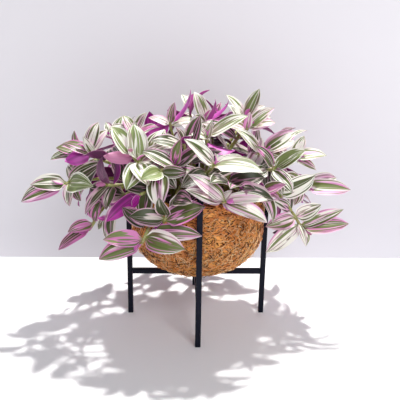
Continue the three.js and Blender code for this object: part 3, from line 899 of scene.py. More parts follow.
FRONT_SHOOTS = (
    ShootPlan("left_far", (-223, -25, 246), (185, 35), 1, (
        (200, 10, 78, 34), (178, 15, 58, 30), (37, 8, 68, 30), (0, 38, 68, 36), (262, 0, 42, 20),
        (285, 10, 36, 16), (115, -10, 30, 14),
    ), Tone(0.34, 0.42, 0.6)),
    ShootPlan("left_low", (-177, -60, 179), (200, 15), 1, (
        (213, 10, 64, 22), (205, -15, 54, 24), (186, 35, 44, 24), (70, 10, 40, 20), (100, -20, 38, 20),
    ), Tone(0.38, 0.85, 0.5)),
    ShootPlan("left_mid", (-146, -70, 256), (172, 10), 2, (
        (100, 20, 50, 22), (229, 5, 62, 22), (200, -28, 42, 18), (90, 8, 54, 20, 155),
        (250, 30, 42, 22),
    ), Tone(0.36, 0.6, 0.5)),
    ShootPlan("pale_left", (-104, -72, 304), (110, 20), 1, (
        (127, -15, 58, 30), (178, 5, 48, 20, 150), (85, -20, 40, 18),
    ), Tone(0.46, 0.08, 0.0)),
    ShootPlan("pale", (-96, -78, 297), (75, 25), 1, (
        (100, -28, 60, 32), (301, 50, 54, 33), (243, 50, 54, 32), (72, -35, 60, 30), (350, 20, 40, 24),
    ), Tone(0.5, 0.1, 0.12)),
    ShootPlan("left_up", (-181, -21, 303), (120, 10), 2, (
        (75, -20, 50, 26), (200, 25, 46, 26, 150), (60, -10, 46, 24), (172, -10, 52, 24),
        (110, 0, 34, 14),
    ), Tone(0.58, 0.18, 0.4)),
    ShootPlan("left_back", (-208, 25, 290), (160, -10), 2, (
        (192, 0, 52, 24), (104, 0, 40, 16), (150, 10, 46, 22), (240, 12, 46, 24), (60, -10, 40, 20),
    ), Tone(0.4, 0.45, 0.45)),
    ShootPlan("top_left", (-49, 30, 344), (95, 10), 3, (
        (57, 10, 68, 18, 156), (78, 0, 38, 16), (160, 0, 40, 20), (12, 5, 50, 22),
        (189, 16, 54, 22, 150, 3),
    ), Tone(0.64, 0.36, 0.24)),
    ShootPlan("top_left_back", (-112, 35, 322), (100, -5), 2, (
        (62, 0, 44, 20), (112, -5, 44, 20), (150, 5, 50, 24), (30, 10, 46, 24), (90, 10, 36, 16),
    ), Tone(0.58, 0.35, 0.25)),
    ShootPlan("top_mid", (13, -20, 327), (90, 15), 2, (
        (32, 8, 76, 26), (160, 40, 38, 24), (70, 0, 34, 14), (140, -5, 50, 24), (344, 12, 50, 28, 156),
    ), Tone(0.68, 0.18, 0.25)),
    ShootPlan("top_back_mid", (12, 42, 346), (90, 0), 3, (
        (110, -5, 54, 26), (41, 16, 58, 15, 172, 1), (27, 24, 54, 14, 168, 4), (63, 8, 56, 13, 165, 7),
        (84, -10, 44, 20), (130, 12, 40, 22),
    ), Tone(0.56, 0.48, 0.22)),
    ShootPlan("top_right", (80, 20, 353), (80, 0), 3, (
        (67, 0, 56, 24), (131, -5, 54, 22), (50, 5, 44, 22), (27, 10, 48, 24), (160, 15, 42, 24),
    ), Tone(0.64, 0.2, 0.25)),
    ShootPlan("right_top", (84, -2, 341), (50, 10), 3, (
        (40, 5, 54, 24), (22, 12, 48, 24), (165, 0, 42, 22), (75, 0, 32, 14),
    ), Tone(0.68, 0.38, 0.25)),
    ShootPlan("right_up", (110, -14, 304), (35, 15), 1, (
        (33, 0, 63, 26), (17, -10, 60, 24), (3, 25, 48, 28), (136, 8, 60, 26), (250, 30, 46, 26),
        (95, 10, 30, 14),
    ), Tone(0.66, 0.25, 0.3)),
    ShootPlan("right_dark", (124, -47, 280), (20, 20), 2, (
        (35, 5, 58, 24), (128, 5, 50, 22), (317, 30, 52, 28), (300, 5, 48, 28), (200, 20, 44, 24),
    ), Tone(0.36, 0.25, 0.65)),
    ShootPlan("right_far_up", (168, 12, 287), (20, 0), 2, (
        (6, 0, 57, 26), (336, 8, 46, 22), (60, -10, 46, 22), (150, 10, 46, 24),
    ), Tone(0.72, 0.25, 0.25)),
    ShootPlan("right", (185, -10, 240), (0, 25), 3, (
        (0, 8, 78, 30), (18, -5, 68, 28), (150, 15, 46, 28), (252, 20, 36, 18), (285, 0, 34, 16),
        (340, 15, 26, 12),
    ), Tone(0.6, 0.4, 0.35)),
    ShootPlan("right_low", (175, -45, 176), (345, 20), 2, (
        (8, 5, 80, 28), (20, -5, 76, 22), (218, 15, 74, 30), (290, 25, 42, 22),
        (193, 15, 56, 28, 0, 16), (27, 0, 48, 26, 0, 17), (158, -5, 38, 22, 0, 26),
    ), Tone(0.54, 0.42, 0.42)),
    ShootPlan("front_right", (38, -125, 245), (20, 30), 2, (
        (141, 5, 70, 26), (153, 15, 62, 28), (4, 2, 68, 19), (339, 10, 76, 28), (45, 0, 24, 11),
        (352, 25, 58, 26), (165, -8, 46, 26, 40, 14),
    ), Tone(0.78, 0.42, 0.3)),
    ShootPlan("front_mid_up", (21, -100, 296), (60, 25), 2, (
        (136, 10, 62, 28), (358, 10, 76, 32), (135, 30, 28, 15), (20, -10, 56, 24),
    ), Tone(0.62, 0.2, 0.45)),
    ShootPlan("mid_left", (-38, -86, 292), (90, 15), 2, (
        (80, 15, 46, 18), (36, 0, 54, 26), (148, 0, 58, 26), (182, 20, 42, 18), (345, 15, 44, 22),
        (326, 10, 54, 30, 0, 26),
    ), Tone(0.34, 0.5, 0.62)),
    ShootPlan("mid_left_low", (-62, -98, 282), (240, 35), 3, (
        (270, 35, 56, 34), (0, 5, 40, 20), (215, 15, 46, 26), (310, 20, 50, 28),
    ), Tone(0.42, 0.35, 0.5)),
    ShootPlan("front_low", (-87, -137, 183), (200, 30), 0, (
        (200, 8, 70, 32), (181, 0, 60, 26), (353, 25, 66, 34), (7, 14, 84, 26, 0, 11),
        (150, -10, 50, 24, 0, 22),
    ), Tone(0.52, 0.7, 0.34)),
    ShootPlan("front_mid", (-55, -128, 213), (190, 25), 2, (
        (24, 5, 66, 34), (172, 10, 54, 28), (30, -4, 64, 26, 0, 14), (100, 10, 40, 22),
    ), Tone(0.28, 0.6, 0.85)),
    ShootPlan("front_left_mid", (-91, -112, 252), (200, 20), 3, (
        (218, 8, 66, 24, 150), (268, 18, 42, 28, 0, 14), (310, 15, 44, 24, 120, 20),
        (175, 0, 44, 22, 0, 24),
    ), Tone(0.34, 0.5, 0.6)),
)

# Shoots that the front ones hide, and those behind: compass angle from the right towards the back,
# reach, height and leaf size
HIDDEN_SHOOTS = (
    (14, 190, 216, 0.95), (32, 190, 292, 1.0), (38, 205, 190, 1.05), (52, 140, 340, 0.95),
    (60, 195, 245, 1.0), (76, 205, 182, 1.05), (80, 140, 322, 1.0), (95, 185, 268, 1.0),
    (100, 80, 360, 0.9), (112, 205, 196, 1.05), (124, 150, 292, 1.0), (132, 195, 252, 1.0),
    (148, 205, 188, 1.05), (152, 175, 305, 0.95), (170, 205, 226, 1.0), (300, 120, 262, 0.95),
    (328, 125, 246, 0.8), (245, 60, 322, 0.85), (205, 160, 205, 0.95), (68, 92, 346, 0.85),
)

# Leaves whose colours stand out in the photograph, by shoot and place in its row of leaves
LEAF_TONES: dict[str, dict[int, Tone]] = {
    "left_far": {2: Tone(0.2, 0.5, 0.75), 3: Tone(0.0, 0.25, 0.2)},
    "left_mid": {
        0: Tone(0.05, 1.0, 1.0), 1: Tone(0.1, 0.6, 0.85), 3: Tone(0.1, 0.5, 0.95), 4: Tone(0.15, 0.6, 0.8),
        5: Tone(0.15, 0.6, 0.85),
    },
    "pale_left": {0: Tone(0.34, 0.1, 0.0), 1: Tone(0.4, 0.6, 0.02)},
    "pale": {0: Tone(0.42, 0.1, 0.0), 1: Tone(0.2, 0.08, 0.05), 2: Tone(0.36, 0.1, 0.02)},
    "left_up": {1: Tone(0.5, 0.3, 0.45), 3: Tone(0.15, 0.8, 0.5), 5: Tone(0.2, 0.5, 0.9)},
    "top_left": {0: Tone(0.6, 0.45, 0.35), 4: Tone(0.5, 0.5, 0.3)},
    "top_mid": {4: Tone(0.5, 0.3, 0.4)},
    "right_up": {2: Tone(0.16, 0.2, 0.4)},
    "right_dark": {0: Tone(0.0, 0.2, 0.42), 1: Tone(0.2, 0.6, 0.7)},
    "right_far_up": {0: Tone(0.5, 0.3, 0.2)},
    "right": {0: Tone(0.42, 0.6, 0.35)},
    "right_low": {8: Tone(0.4, 0.1, 0.55)},
    # front_mid_up's leaf 4, near black, is painted shade of the hollow in the middle of the foliage.
    "front_mid_up": {1: Tone(0.9, 0.05, 0.05), 2: Tone(0.05, 0.2, 0.3), 4: Tone(0.0, 0.5, 0.9)},
    "mid_left": {0: Tone(0.18, 0.9, 0.4), 1: Tone(0.2, 0.5, 0.8)},
    "mid_left_low": {1: Tone(0.2, 0.5, 0.7), 2: Tone(0.16, 0.1, 0.12), 3: Tone(0.08, 0.5, 0.8)},
    "front_low": {1: Tone(0.42, 0.95, 0.3), 4: Tone(0.1, 0.6, 0.85)},
    "front_mid": {
        0: Tone(0.12, 0.62, 0.62), 1: Tone(0.1, 0.5, 0.85), 2: Tone(0.16, 0.6, 0.62),
        3: Tone(0.05, 0.5, 0.8), 4: Tone(0.15, 0.5, 0.85),
    },
    "front_left_mid": {0: Tone(0.3, 0.5, 0.45), 3: Tone(0.05, 0.5, 0.9)},
    "hidden_05": {5: Tone(0.3, 0.3, 0.4)},
    "hidden_11": {3: Tone(0.3, 0.3, 0.35)},
    "hidden_15": {3: Tone(0.2, 0.5, 0.8), 6: Tone(0.2, 0.5, 1.0)},
    # hidden_16's dark leaves are painted shade of the hollow in the middle of the foliage.
    "hidden_16": {
        0: Tone(0.15, 0.5, 0.9), 2: Tone(0.12, 0.5, 0.95), 3: Tone(0.0, 0.35, 0.75),
        4: Tone(0.12, 0.4, 0.85),
    },
    "hidden_18": {2: Tone(0.26, 0.5, 0.75), 3: Tone(0.22, 0.6, 0.75)},
}


@dataclass(frozen=True)
class RankRule:
    """Two ranks of leaves down a stem.

    backs, shares and spreads give the step back from the head, the share of full size and the angle from the
    stem of each leaf, from the head down. Where a shoot's upper leaves are given, the lower ones follow
    low_back and low_spread instead, which hold the first value and what each further leaf adds. given_back is
    the same for a given leaf with no step back of its own. A play is the whole width of a random change, and
    a draw over over_from turns a leaf's lower face up. Leaves that start below outward_to face outwards more.
    """

    backs: tuple[float, ...] = (1, 5, 12, 22, 35, 50, 67, 85, 104)
    shares: tuple[float, ...] = (0.5, 0.72, 0.9, 1.0, 1.0, 1.0, 0.95, 0.9, 0.85)
    spreads: tuple[float, ...] = (16, 34, 48, 58, 66, 74, 80, 84, 88)
    low_back: tuple[float, float] = (34, 20)
    low_spread: tuple[float, float] = (72, 8)
    given_back: tuple[float, float] = (2, 2.5)
    spin_play: float = 40.0
    turn_play: float = 50.0
    spread_play: float = 16.0
    length_play: float = 0.2
    droop: float = 0.12
    over_from: float = 0.46
    soil_room: float = 8.0
    given_face: tuple[float, float, float] = (0.0, -0.6, 0.6)
    given_by_aim: float = 0.4
    face_front: float = -0.35
    face_up: float = 0.45
    face_along: float = 0.3
    face_outward: float = 0.5
    outward_height: float = 40.0
    outward_to: float = 255.0
    back_from: float = 60.0
    back_to_right: float = 110.0

    def row(self, i: int, placed: bool) -> tuple[float, float, float]:
        """Gives one leaf's numbers.

        Args:
            i: Its place down the stem.
            placed: Whether the upper leaves are given.

        Returns:
            Its step back, share of full size and angle from the stem.
        """
        if placed:
            return self.low_back[0] + self.low_back[1] * i, 1.0, self.low_spread[0] + self.low_spread[1] * i
        return self.backs[i], self.shares[i], self.spreads[i]


RANK = RankRule()


def facing(heading: float, lean: float) -> Point:
    """Returns the unit vector of a heading and a lean, both in degrees."""
    turn, tip = math.radians(heading), math.radians(lean)
    return np.array([math.cos(tip) * math.cos(turn), -math.sin(tip), math.cos(tip) * math.sin(turn)])


def rank_side(along: Point, turn: float) -> Point:
    """Finds the side of a stem on which a leaf stands.

    Args:
        along: The stem's direction.
        turn: Angle about the stem, in degrees.

    Returns:
        The way out of that side, square to the stem.
    """
    flat = unit(np.cross(along, RIGHT if abs(along[2]) > SIZES.steep else UP))
    angle = math.radians(turn)
    return flat * math.cos(angle) + np.cross(flat, along) * math.sin(angle)


def leaf_bends() -> Point:
    """Returns the ways in which a leaf may be bent: lift and swing in degrees and share of its size."""
    rows = []
    for share in (1.0, 0.86, 0.72):
        rows.append((0.0, 0.0, share))
        for angle in (7, 14, 22, 31, 42):
            for turn in (90, 270, 0, 180, 45, 135, 315, 225):
                way = math.radians(turn)
                rows.append((angle * math.sin(way), angle * math.cos(way), share))
    return np.array(rows)


def root_moves() -> list[tuple[float, float, float]]:
    """Returns the ways in which a root may be moved: compass angle, reach and more rise."""
    turns = (0, 9, -9, 18, -18, 28, -28, 40, -40)
    return [
        (turn + rise * 0.11, reach, rise)
        for rise in (0, 12, 24, 36, 48) for turn in turns for reach in (0, -12, 10, -24)
    ]


@dataclass
class Leaf:
    """One blade: where it leaves the stem's middle, the way to its tip, its upper face and its size."""

    base: Point
    chord: Point
    face: Point
    length: float
    width: float
    young: float = 0.0
    tone: Tone | None = None

    @property
    def side(self) -> Point:
        """The way across the blade."""
        return np.cross(self.chord, self.face)

    def way(self, lift: Point | float, swing: Point | float) -> Point:
        """Returns the way to the tip after a lift and a swing in radians, one of each or a column."""
        raised = self.chord * np.cos(lift) + self.face * np.sin(lift)
        return raised * np.cos(swing) + self.side * np.sin(swing)

    def bent(self, lift: float, swing: float, share: float) -> "Leaf":
        """Bends the leaf.

        Args:
            lift: Angle towards its upper face, in degrees.
            swing: Angle to its side, in degrees.
            share: Share of its size that is left.

        Returns:
            The bent leaf.
        """
        up, over = math.radians(lift), math.radians(swing)
        face = unit(self.face * math.cos(up) - self.chord * math.sin(up))
        length, width = self.length * share, self.width * share
        return replace(self, chord=unit(self.way(up, over)), face=face, length=length, width=width)

    def tips(self, bends: Point) -> Point:
        """Returns where the tip comes for each of several bends."""
        up, over = np.radians(bends[:, 0:1]), np.radians(bends[:, 1:2])
        return self.base + self.way(up, over) * self.length * bends[:, 2:3]


@dataclass
class Stem:
    """A stem: a cubic curve from the soil to the head, on an upright foot that is sunk in the soil."""

    root: Point
    head: Point
    aim: Point
    more: float
    points: Point = field(init=False)
    pieces: int = field(init=False)

    def __post_init__(self) -> None:
        """Works out the curve's four points."""
        low = np.array([self.root[0], self.root[1], SIZES.soil_top + SIZES.stem_upright])
        span = float(np.linalg.norm(self.head - low))
        hang = max(0.0, SIZES.bowl_rim + SIZES.over_rim - self.head[2])
        height = max(0.0, self.head[2] - SIZES.soil_top)
        rise = SIZES.least_rise + SIZES.rise_by_hang * hang + SIZES.rise_by_height * height + self.more
        pull = SIZES.head_pull * span * self.aim
        before = self.head - pull + UP * (SIZES.head_by_hang * hang + self.more)
        self.points = np.array([low, low + UP * rise, before, self.head])
        turned = math.degrees(math.acos(max(-1.0, min(1.0, self.aim[2]))))
        self.pieces = SIZES.least_stops + math.floor(turned / SIZES.stem_turn + 0.5)

    def curve(self, u: float) -> Point:
        """Returns the point at u, from 0 at the soil to 1 at the head."""
        v = 1 - u
        return np.array([v * v * v, 3 * v * v * u, 3 * v * u * u, u * u * u]) @ self.points

    def at(self, u: float) -> Point:
        """Finds a point on the straight lengths between the curve's stops.

        Args:
            u: Place along the stem, from 0 at the soil to 1 at the head.

        Returns:
            The point.
        """
        i = min(self.pieces - 1, math.floor(u * self.pieces))
        part = u * self.pieces - i
        return self.curve(i / self.pieces) * (1 - part) + self.curve((i + 1) / self.pieces) * part

    def along(self, u: float) -> Point:
        """Returns the curve's direction at u."""
        v = 1 - u
        return unit(np.array([v * v, 2 * v * u, u * u]) @ np.diff(self.points, axis=0))

    def length(self) -> float:
        """Returns its length above the soil."""
        stops = np.array([self.at(i / 32) for i in range(33)])
        return float(np.linalg.norm(np.diff(stops, axis=0), axis=1).sum())


@dataclass
class LeafBlank:
    """Flat closed leaf in a unit box, from which every leaf is shaped: across is X, along is Y."""

    across: int = 10
    along: int = 22

    def build(self, count: int) -> Mesh:
        """Returns a mesh that holds count blanks, one after the other.

        Args:
            count: How many leaves the shoot has.

        Returns:
            The mesh, with a UV map that gives the place across and along.
        """
        shape = bmesh.new()
        shape.loops.layers.uv.new("UVMap")
        bmesh.ops.create_grid(shape, x_segments=self.across, y_segments=self.along, size=1.0, calc_uvs=True)
        lower = shape.faces[:]
        made = bmesh.ops.extrude_face_region(shape, geom=lower, use_keep_orig=True)["geom"]
        raised = [item for item in made if isinstance(item, bmesh.types.BMVert)]
        bmesh.ops.translate(shape, verts=raised, vec=(0.0, 0.0, 1.0))
        bmesh.ops.recalc_face_normals(shape, faces=shape.faces)
        layer = shape.loops.layers.uv.active
        for face in shape.faces:
            face.material_index = Side.LOWER.value if face.normal.z < -0.5 else Side.UPPER.value
            for loop in face.loops:
                loop[layer].uv = ((loop.vert.co.x + 1) / 2, (loop.vert.co.y + 1) / 2)
        for edge in shape.edges:
            heights = {round(face.normal.z) for face in edge.link_faces}
            edge.smooth = len(heights) == 1
        copies_of(shape, count)
        return mesh_of(shape, "leaves")


@dataclass
class LeafForm:
    """Turns a blank into a blade: rounded and channelled at the base, arched, cupped and wavy."""

    neck: float = 3.0
    neck_share: float = 0.42
    neck_end: float = 0.16
    point: float = 0.3
    least_half: float = 0.12
    thick: float = 0.55
    edge_thick: float = 0.22
    full_width: float = 22.0
    roll: float = 0.35
    base_roll: float = 1.25
    cup: float = 0.8
    fold: float = 0.6
    wave: float = 0.02
    twist: float = 11.0
    droop_from: float = 0.68
    droop: tuple[float, float] = (0.25, 0.5)
    sway: float = 0.035
    base_end: float = 0.22
    wave_start: tuple[float, float] = (0.1, 0.35)
    waves: tuple[float, float] = (1.3, 1.4)
    whole_turn: float = 6.3

    def shape(self, blank: Point, leaf: Leaf, draws: Draws) -> Point:
        """Places one blank's points.

        Args:
            blank: Points of the blank: across and along from -1 to 1, then 0 below or 1 above.
            leaf: The blade to make.
            draws: Random numbers for its own small turns.

        Returns:
            The points, in the same order.
        """
        v, t, above = blank[:, 0], (blank[:, 1] + 1) / 2, blank[:, 2]
        half = self.half_width(t, leaf)
        roll = self.roll + self.base_roll * (1 - smooth_step(t, 0.0, self.base_end)) + leaf.young
        angle = roll * v
        out = half * np.sin(angle) / roll
        cup = half * (1 - np.cos(angle)) / roll * self.cup
        cup = cup + half * SIZES.leaf_fold * self.fold * np.abs(v)
        wave = leaf.width * self.wave * np.abs(v) ** 3 * smooth_step(t, *self.wave_start)
        phase = np.where(v > 0, draws() * self.whole_turn, draws() * self.whole_turn)
        fewest, more = self.waves
        cup = cup + wave * np.sin(2 * math.pi * (fewest + more * draws()) * t + phase)
        twist = math.radians(draws.around(self.twist)) * t * t
        out, cup = out * np.cos(twist) - cup * np.sin(twist), out * np.sin(twist) + cup * np.cos(twist)
        least, more = self.droop
        droop = (least + more * draws()) * leaf.length * np.maximum(0.0, t - self.droop_from) ** 2
        sway = draws.around(self.sway) * leaf.length * 4 * t * (1 - t)
        lift = 2 * t * (1 - t) * SIZES.leaf_arch * leaf.length - droop
        slope = 2 * (1 - 2 * t) * SIZES.leaf_arch
        up = leaf.face[None, :] - leaf.chord[None, :] * slope[:, None]
        up /= np.linalg.norm(up, axis=1)[:, None]
        layer = self.thick * (1 - v * v) + self.edge_thick
        layer = (above - 0.5) * layer * np.minimum(1.0, 0.35 + leaf.width / self.full_width)
        centre = leaf.base + leaf.chord * (t * leaf.length)[:, None] + leaf.face * lift[:, None]
        return centre + leaf.side * (out + sway)[:, None] + up * (cup + layer)[:, None]

    def half_width(self, t: Point, leaf: Leaf) -> Point:
        """Works out half the blade's width.

        Args:
            t: Places along it, from 0 at the base to 1 at the tip.
            leaf: The blade.

        Returns:
            The half width at each place.
        """
        full = (t + SIZES.base_offset) ** SIZES.base_power * (1 - t) ** SIZES.tip_power / SIZES.peak
        pointed = 1 - self.point * smooth_step(t, 0.8, 1.0)
        widening = smooth_step(t * leaf.length, self.neck, self.neck_end * leaf.length + self.neck)
        neck = self.neck_share + (1 - self.neck_share) * widening
        return np.maximum(self.least_half, SIZES.fullness * leaf.width * full * pointed * neck / 2)


@dataclass(frozen=True)
class ToneRule:
    """How a leaf's colours differ from its shoot's: by chance, with age, and while it is young.

    play is how far chance moves each of the three numbers either way, and by_age_and_shade what full age
    adds to them: leaves further down the stem grow darker and less white, partly with age and partly as
    painted shade of the inner foliage. A leaf with colours of its own keeps own_share of both. ages are the
    steps back from the head between which a leaf grows old.
    """

    play: Tone = Tone(0.13, 0.2, 0.15)
    by_age_and_shade: Tone = Tone(-0.4, 0.1, 0.6)
    fresh: float = 0.25
    own_share: float = 0.2
    ages: tuple[float, float] = (8.0, 50.0)

    def age(self, back: float) -> float:
        """Returns a leaf's age, from 0 at the head to 1 far down the stem."""
        return float(smooth_step(np.array(back), *self.ages))

    def draw(self, shoot: Tone, leaf: Leaf, age: float, draws: Draws) -> tuple[float, float, float, float]:
        """Draws one leaf's colours.

        Args:
            shoot: The shoot's colours.
            leaf: The leaf.
            age: Its age.
            draws: Random numbers.

        Returns:
            Its own number, and how white, pink and dark it is.
        """
        fresh = self.fresh * leaf.young
        tone, share = (leaf.tone, self.own_share) if leaf.tone else (shoot, 1.0)
        age *= share
        # Darker and less white further down the stem: partly ageing, partly painted shade of the inner
        # foliage.
        white = tone.white + draws.around(self.play.white) * share + self.by_age_and_shade.white * age
        pink = tone.pink + draws.around(self.play.pink) * share + fresh + self.by_age_and_shade.pink * age
        seed = draws()
        dark = tone.dark + draws.around(self.play.dark) * share - fresh + self.by_age_and_shade.dark * age
        return seed, white, pink, dark


@dataclass
class StemTube:
    """A round stem with a sheath at each leaf and a rounded end."""

    corners: int = 10
    step: float = 4.0
    sheath_length: float = 8.0
    sheath_swell: float = 0.75
    sheath_rings: tuple[float, ...] = (8.0, 6.8, 3.0, 0.1, -0.5)
    end_rings: tuple[float, ...] = (-0.8, -1.8, -2.4)
    end_round: float = 2.5
    least_gap: float = 0.35
    slim: float = 0.62
    slim_to: float = 60.0

    def build(self, stem: Stem, backs: list[float], seed: float, tone: Tone) -> Mesh:
        """Makes the tube.

        Args:
            stem: Its path.
            backs: How far back from the head each leaf starts.
            seed: The shoot's own number.
            tone: The shoot's colours.

        Returns:
            The mesh.
        """
        total = stem.length()
        stops = self.stops(total, backs)
        shape = bmesh.new()
        corner = shape.verts.layers.int.new("corner")
        colour = shape.verts.layers.float_color.new(TONE)
        ring = bmesh.ops.create_circle(shape, segments=self.corners, radius=1.0, cap_ends=True)["verts"]
        for i, vert in enumerate(ring):
            vert[corner] = i
        side, frames = RIGHT, []
        for back in stops:
            u = 1 - back / total
            way = stem.along(min(1.0, max(0.0, u)))
            middle = stem.curve(u) if u >= 0 else stem.points[0] + UP * (u * total)
            side = squared(side, way)
            frames.append((middle, side, np.cross(way, side), *self.section(back, backs)))
        edges = shape.edges[:]
        for i, (middle, across, over, radius, sheath) in enumerate(frames):
            if i:
                made = bmesh.ops.extrude_edge_only(shape, edges=edges)["geom"]
                edges = [item for item in made if isinstance(item, bmesh.types.BMEdge)]
                ring = [item for item in made if isinstance(item, bmesh.types.BMVert)]
                edges = [edge for edge in edges if edge.verts[0] in ring and edge.verts[1] in ring]
            for vert in ring:
                angle = 2 * math.pi * vert[corner] / self.corners
                vert.co = middle + (across * math.cos(angle) + over * math.sin(angle)) * radius
                vert[colour] = (seed, sheath, tone.pink, tone.dark)
        bmesh.ops.contextual_create(shape, geom=edges)
        bmesh.ops.recalc_face_normals(shape, faces=shape.faces)
        for face in shape.faces:
            face.material_index = Side.STEM.value
        shape.verts.layers.int.remove(corner)
        return mesh_of(shape, "stem")

    def stops(self, total: float, backs: list[float]) -> list[float]:
        """Spaces the rings out.

        Args:
            total: The stem's length above the soil.
            backs: How far back from the head each leaf starts.

        Returns:
            Where the rings are, as distances back from the head, from the foot up.
        """
        foot = total + SIZES.stem_sunk
        places = {foot - 0.5, *self.end_rings, *np.arange(0.0, total, self.step).tolist()}
        places.update(back + ring for back in backs for ring in self.sheath_rings)
        kept: list[float] = []
        for place in sorted((place for place in places if place <= foot), reverse=True):
            if not kept or kept[-1] - place > self.least_gap:
                kept.append(place)
        return kept

    def section(self, back: float, backs: list[float]) -> tuple[float, float]:
        """Works out one ring's size.

        Args:
            back: Its distance back from the head.
            backs: How far back from the head each leaf starts.

        Returns:
            Its radius, and how much of a sheath there is.
        """
        radius = SIZES.stem_radius * (self.slim + (1 - self.slim) * min(1.0, max(0.0, back) / self.slim_to))
        if back < 0:
            radius *= max(0.12, math.sqrt(max(0.0, 1 - (back / self.end_round) ** 2)))
        overs = [(back - start) / self.sheath_length for start in backs]
        sheath = max((1 - over for over in overs if 0 <= over <= 1), default=0.0)
        return radius + self.sheath_swell * sheath ** 0.5, sheath


# Young leaves at a head: length and angle from the stem, then what all of them share
BUDS = ((25, 26), (17, 15), (10, 6))
BUD_WIDTH = 0.42
BUD_SUNK = 1.5
BUD_PLAY = 30.0
BUD_TILT = 0.2


@dataclass
class Shoot:
    """A leafy stem: its plan, its own number, and the rule for the leaves that are not given."""

    name: str
    head: Point
    aim: Point
    size: float
    spin: float
    low: int
    given: tuple[LeafRow, ...]
    tone: Tone

    def plant(self, cad: Point) -> Stem:
        """Finds the stem whose foot stands where the CAD node's foot does.

        Args:
            cad: Vertices of the CAD node, from the stand's axis.

        Returns:
            The stem.
        """
        foot_level = SIZES.soil_top - SIZES.stem_sunk
        low = np.abs(cad[:, 2] - foot_level) < 0.02
        near = np.hypot(cad[:, 0], cad[:, 1]) < SIZES.root_reach + 2 * SIZES.stem_radius + 4
        foot = np.unique(np.round(cad[low & near], 2), axis=0).mean(axis=0)
        compass = math.atan2(self.head[1], self.head[0])
        reach = min(SIZES.root_reach, SIZES.root_share * math.hypot(self.head[0], self.head[1]))
        best, found = math.inf, Stem(foot[:2], self.head, self.aim, 0.0)
        for turn, more, rise in root_moves():
            radius = min(SIZES.root_reach + 4, max(4.0, reach + more))
            angle = compass + math.radians(turn)
            root = np.array([radius * math.cos(angle), radius * math.sin(angle)])
            apart = math.hypot(root[0] - foot[0], root[1] - foot[1])
            if apart < best:
                best, found = apart, Stem(root, self.head, self.aim, rise)
        if best > 0.1:
            log.warning("%s: its foot is %.2f mm from the nearest root", self.name, best)
        return found

    def wanted(self, stem: Stem, draws: Draws) -> list[tuple[float, Leaf]]:
        """Works out the leaves before they are bent.

        Args:
            stem: The shoot's stem.
            draws: Its random numbers.

        Returns:
            Pairs of step back from the head and leaf, without those that would start in the soil.
        """
        total = stem.length()
        found = [(back, leaf) for back, leaf in self.as_given(stem, total) if self.is_clear(leaf)]
        placed = bool(found)
        spin = self.spin + (draws() - 0.5) * RANK.spin_play
        for i in range(self.low):
            back, share, spread = RANK.row(i, placed)
            turn_by, spread_by, length_by, face_by = (draws() - 0.5 for _ in range(4))
            u = max(0.0, 1 - back / total)
            along, base = stem.along(u), stem.at(u)
            rank = rank_side(along, spin + (i % 2) * 180 + turn_by * RANK.turn_play)
            wide = math.radians(spread + spread_by * RANK.spread_play)
            chord = unit(along * math.cos(wide) + rank * math.sin(wide) - UP * RANK.droop)
            length = SIZES.leaf_length * self.size * share * (1 + length_by * RANK.length_play)
            is_behind = base[1] > RANK.back_from and base[0] < RANK.back_to_right
            front = 0.0 if is_behind else RANK.face_front
            hint = np.array([0.0, front, RANK.face_up]) + along * RANK.face_along
            if base[2] <= RANK.outward_to:
                hint += unit(np.array([base[0], base[1], RANK.outward_height])) * RANK.face_outward
            if face_by > RANK.over_from:
                hint = -hint
            tone = self.own_tone(len(self.given) + i)
            leaf = Leaf(base, chord, squared(hint, chord), length, length * SIZES.leaf_width, tone=tone)
            if self.is_clear(leaf):
                found.append((back, leaf))
        return found

    def as_given(self, stem: Stem, total: float) -> list[tuple[float, Leaf]]:
        """Works out the leaves that the plan gives.

        Args:
            stem: The shoot's stem.
            total: Its length above the soil.

        Returns:
            Pairs of step back from the head and leaf.
        """
        first, more = RANK.given_back
        found = []
        for i, (heading, lean, length, width, *rest) in enumerate(self.given):
            turn = math.radians(rest[0]) if rest else 0.0
            back = rest[1] if len(rest) > 1 else first + more * i
            chord = facing(heading, lean)
            level = squared(np.array(RANK.given_face) + self.aim * RANK.given_by_aim, chord)
            face = level * math.cos(turn) + np.cross(chord, level) * math.sin(turn)
            base = stem.at(max(0.0, 1 - back / total))
            leaf = Leaf(base, chord, squared(face, chord), length, width, tone=self.own_tone(i))
            found.append((back, leaf))
        return found

    def own_tone(self, place: int) -> Tone | None:
        """Returns the colours of the leaf at a place in the shoot's row, where it has its own."""
        return LEAF_TONES.get(self.name, {}).get(place)

    def is_clear(self, leaf: Leaf) -> bool:
        """Tells whether a leaf starts clear of the soil."""
        inside = math.hypot(leaf.base[0], leaf.base[1]) < SIZES.bowl_radius
        return not (inside and leaf.base[2] < SIZES.soil_top + RANK.soil_room)

    def kept(self, wanted: list[tuple[float, Leaf]], cad: Point) -> list[tuple[float, Leaf]]:
        """Finds the leaves that the CAD node has, bent as they are there.

        Args:
            wanted: The leaves before they are bent.
            cad: Vertices of the CAD node, from the stand's axis.

        Returns:
            Pairs of step back and leaf.
        """
        bends = leaf_bends()
        found = []
        for back, leaf in wanted:
            tips = leaf.tips(bends)
            apart = np.linalg.norm(tips[:, None, :] - cad[None, :, :], axis=2).min(axis=1)
            hits = np.nonzero(apart < 0.03)[0]
            if len(hits):
                found.append((back, leaf.bent(*bends[hits[0]])))
        return found

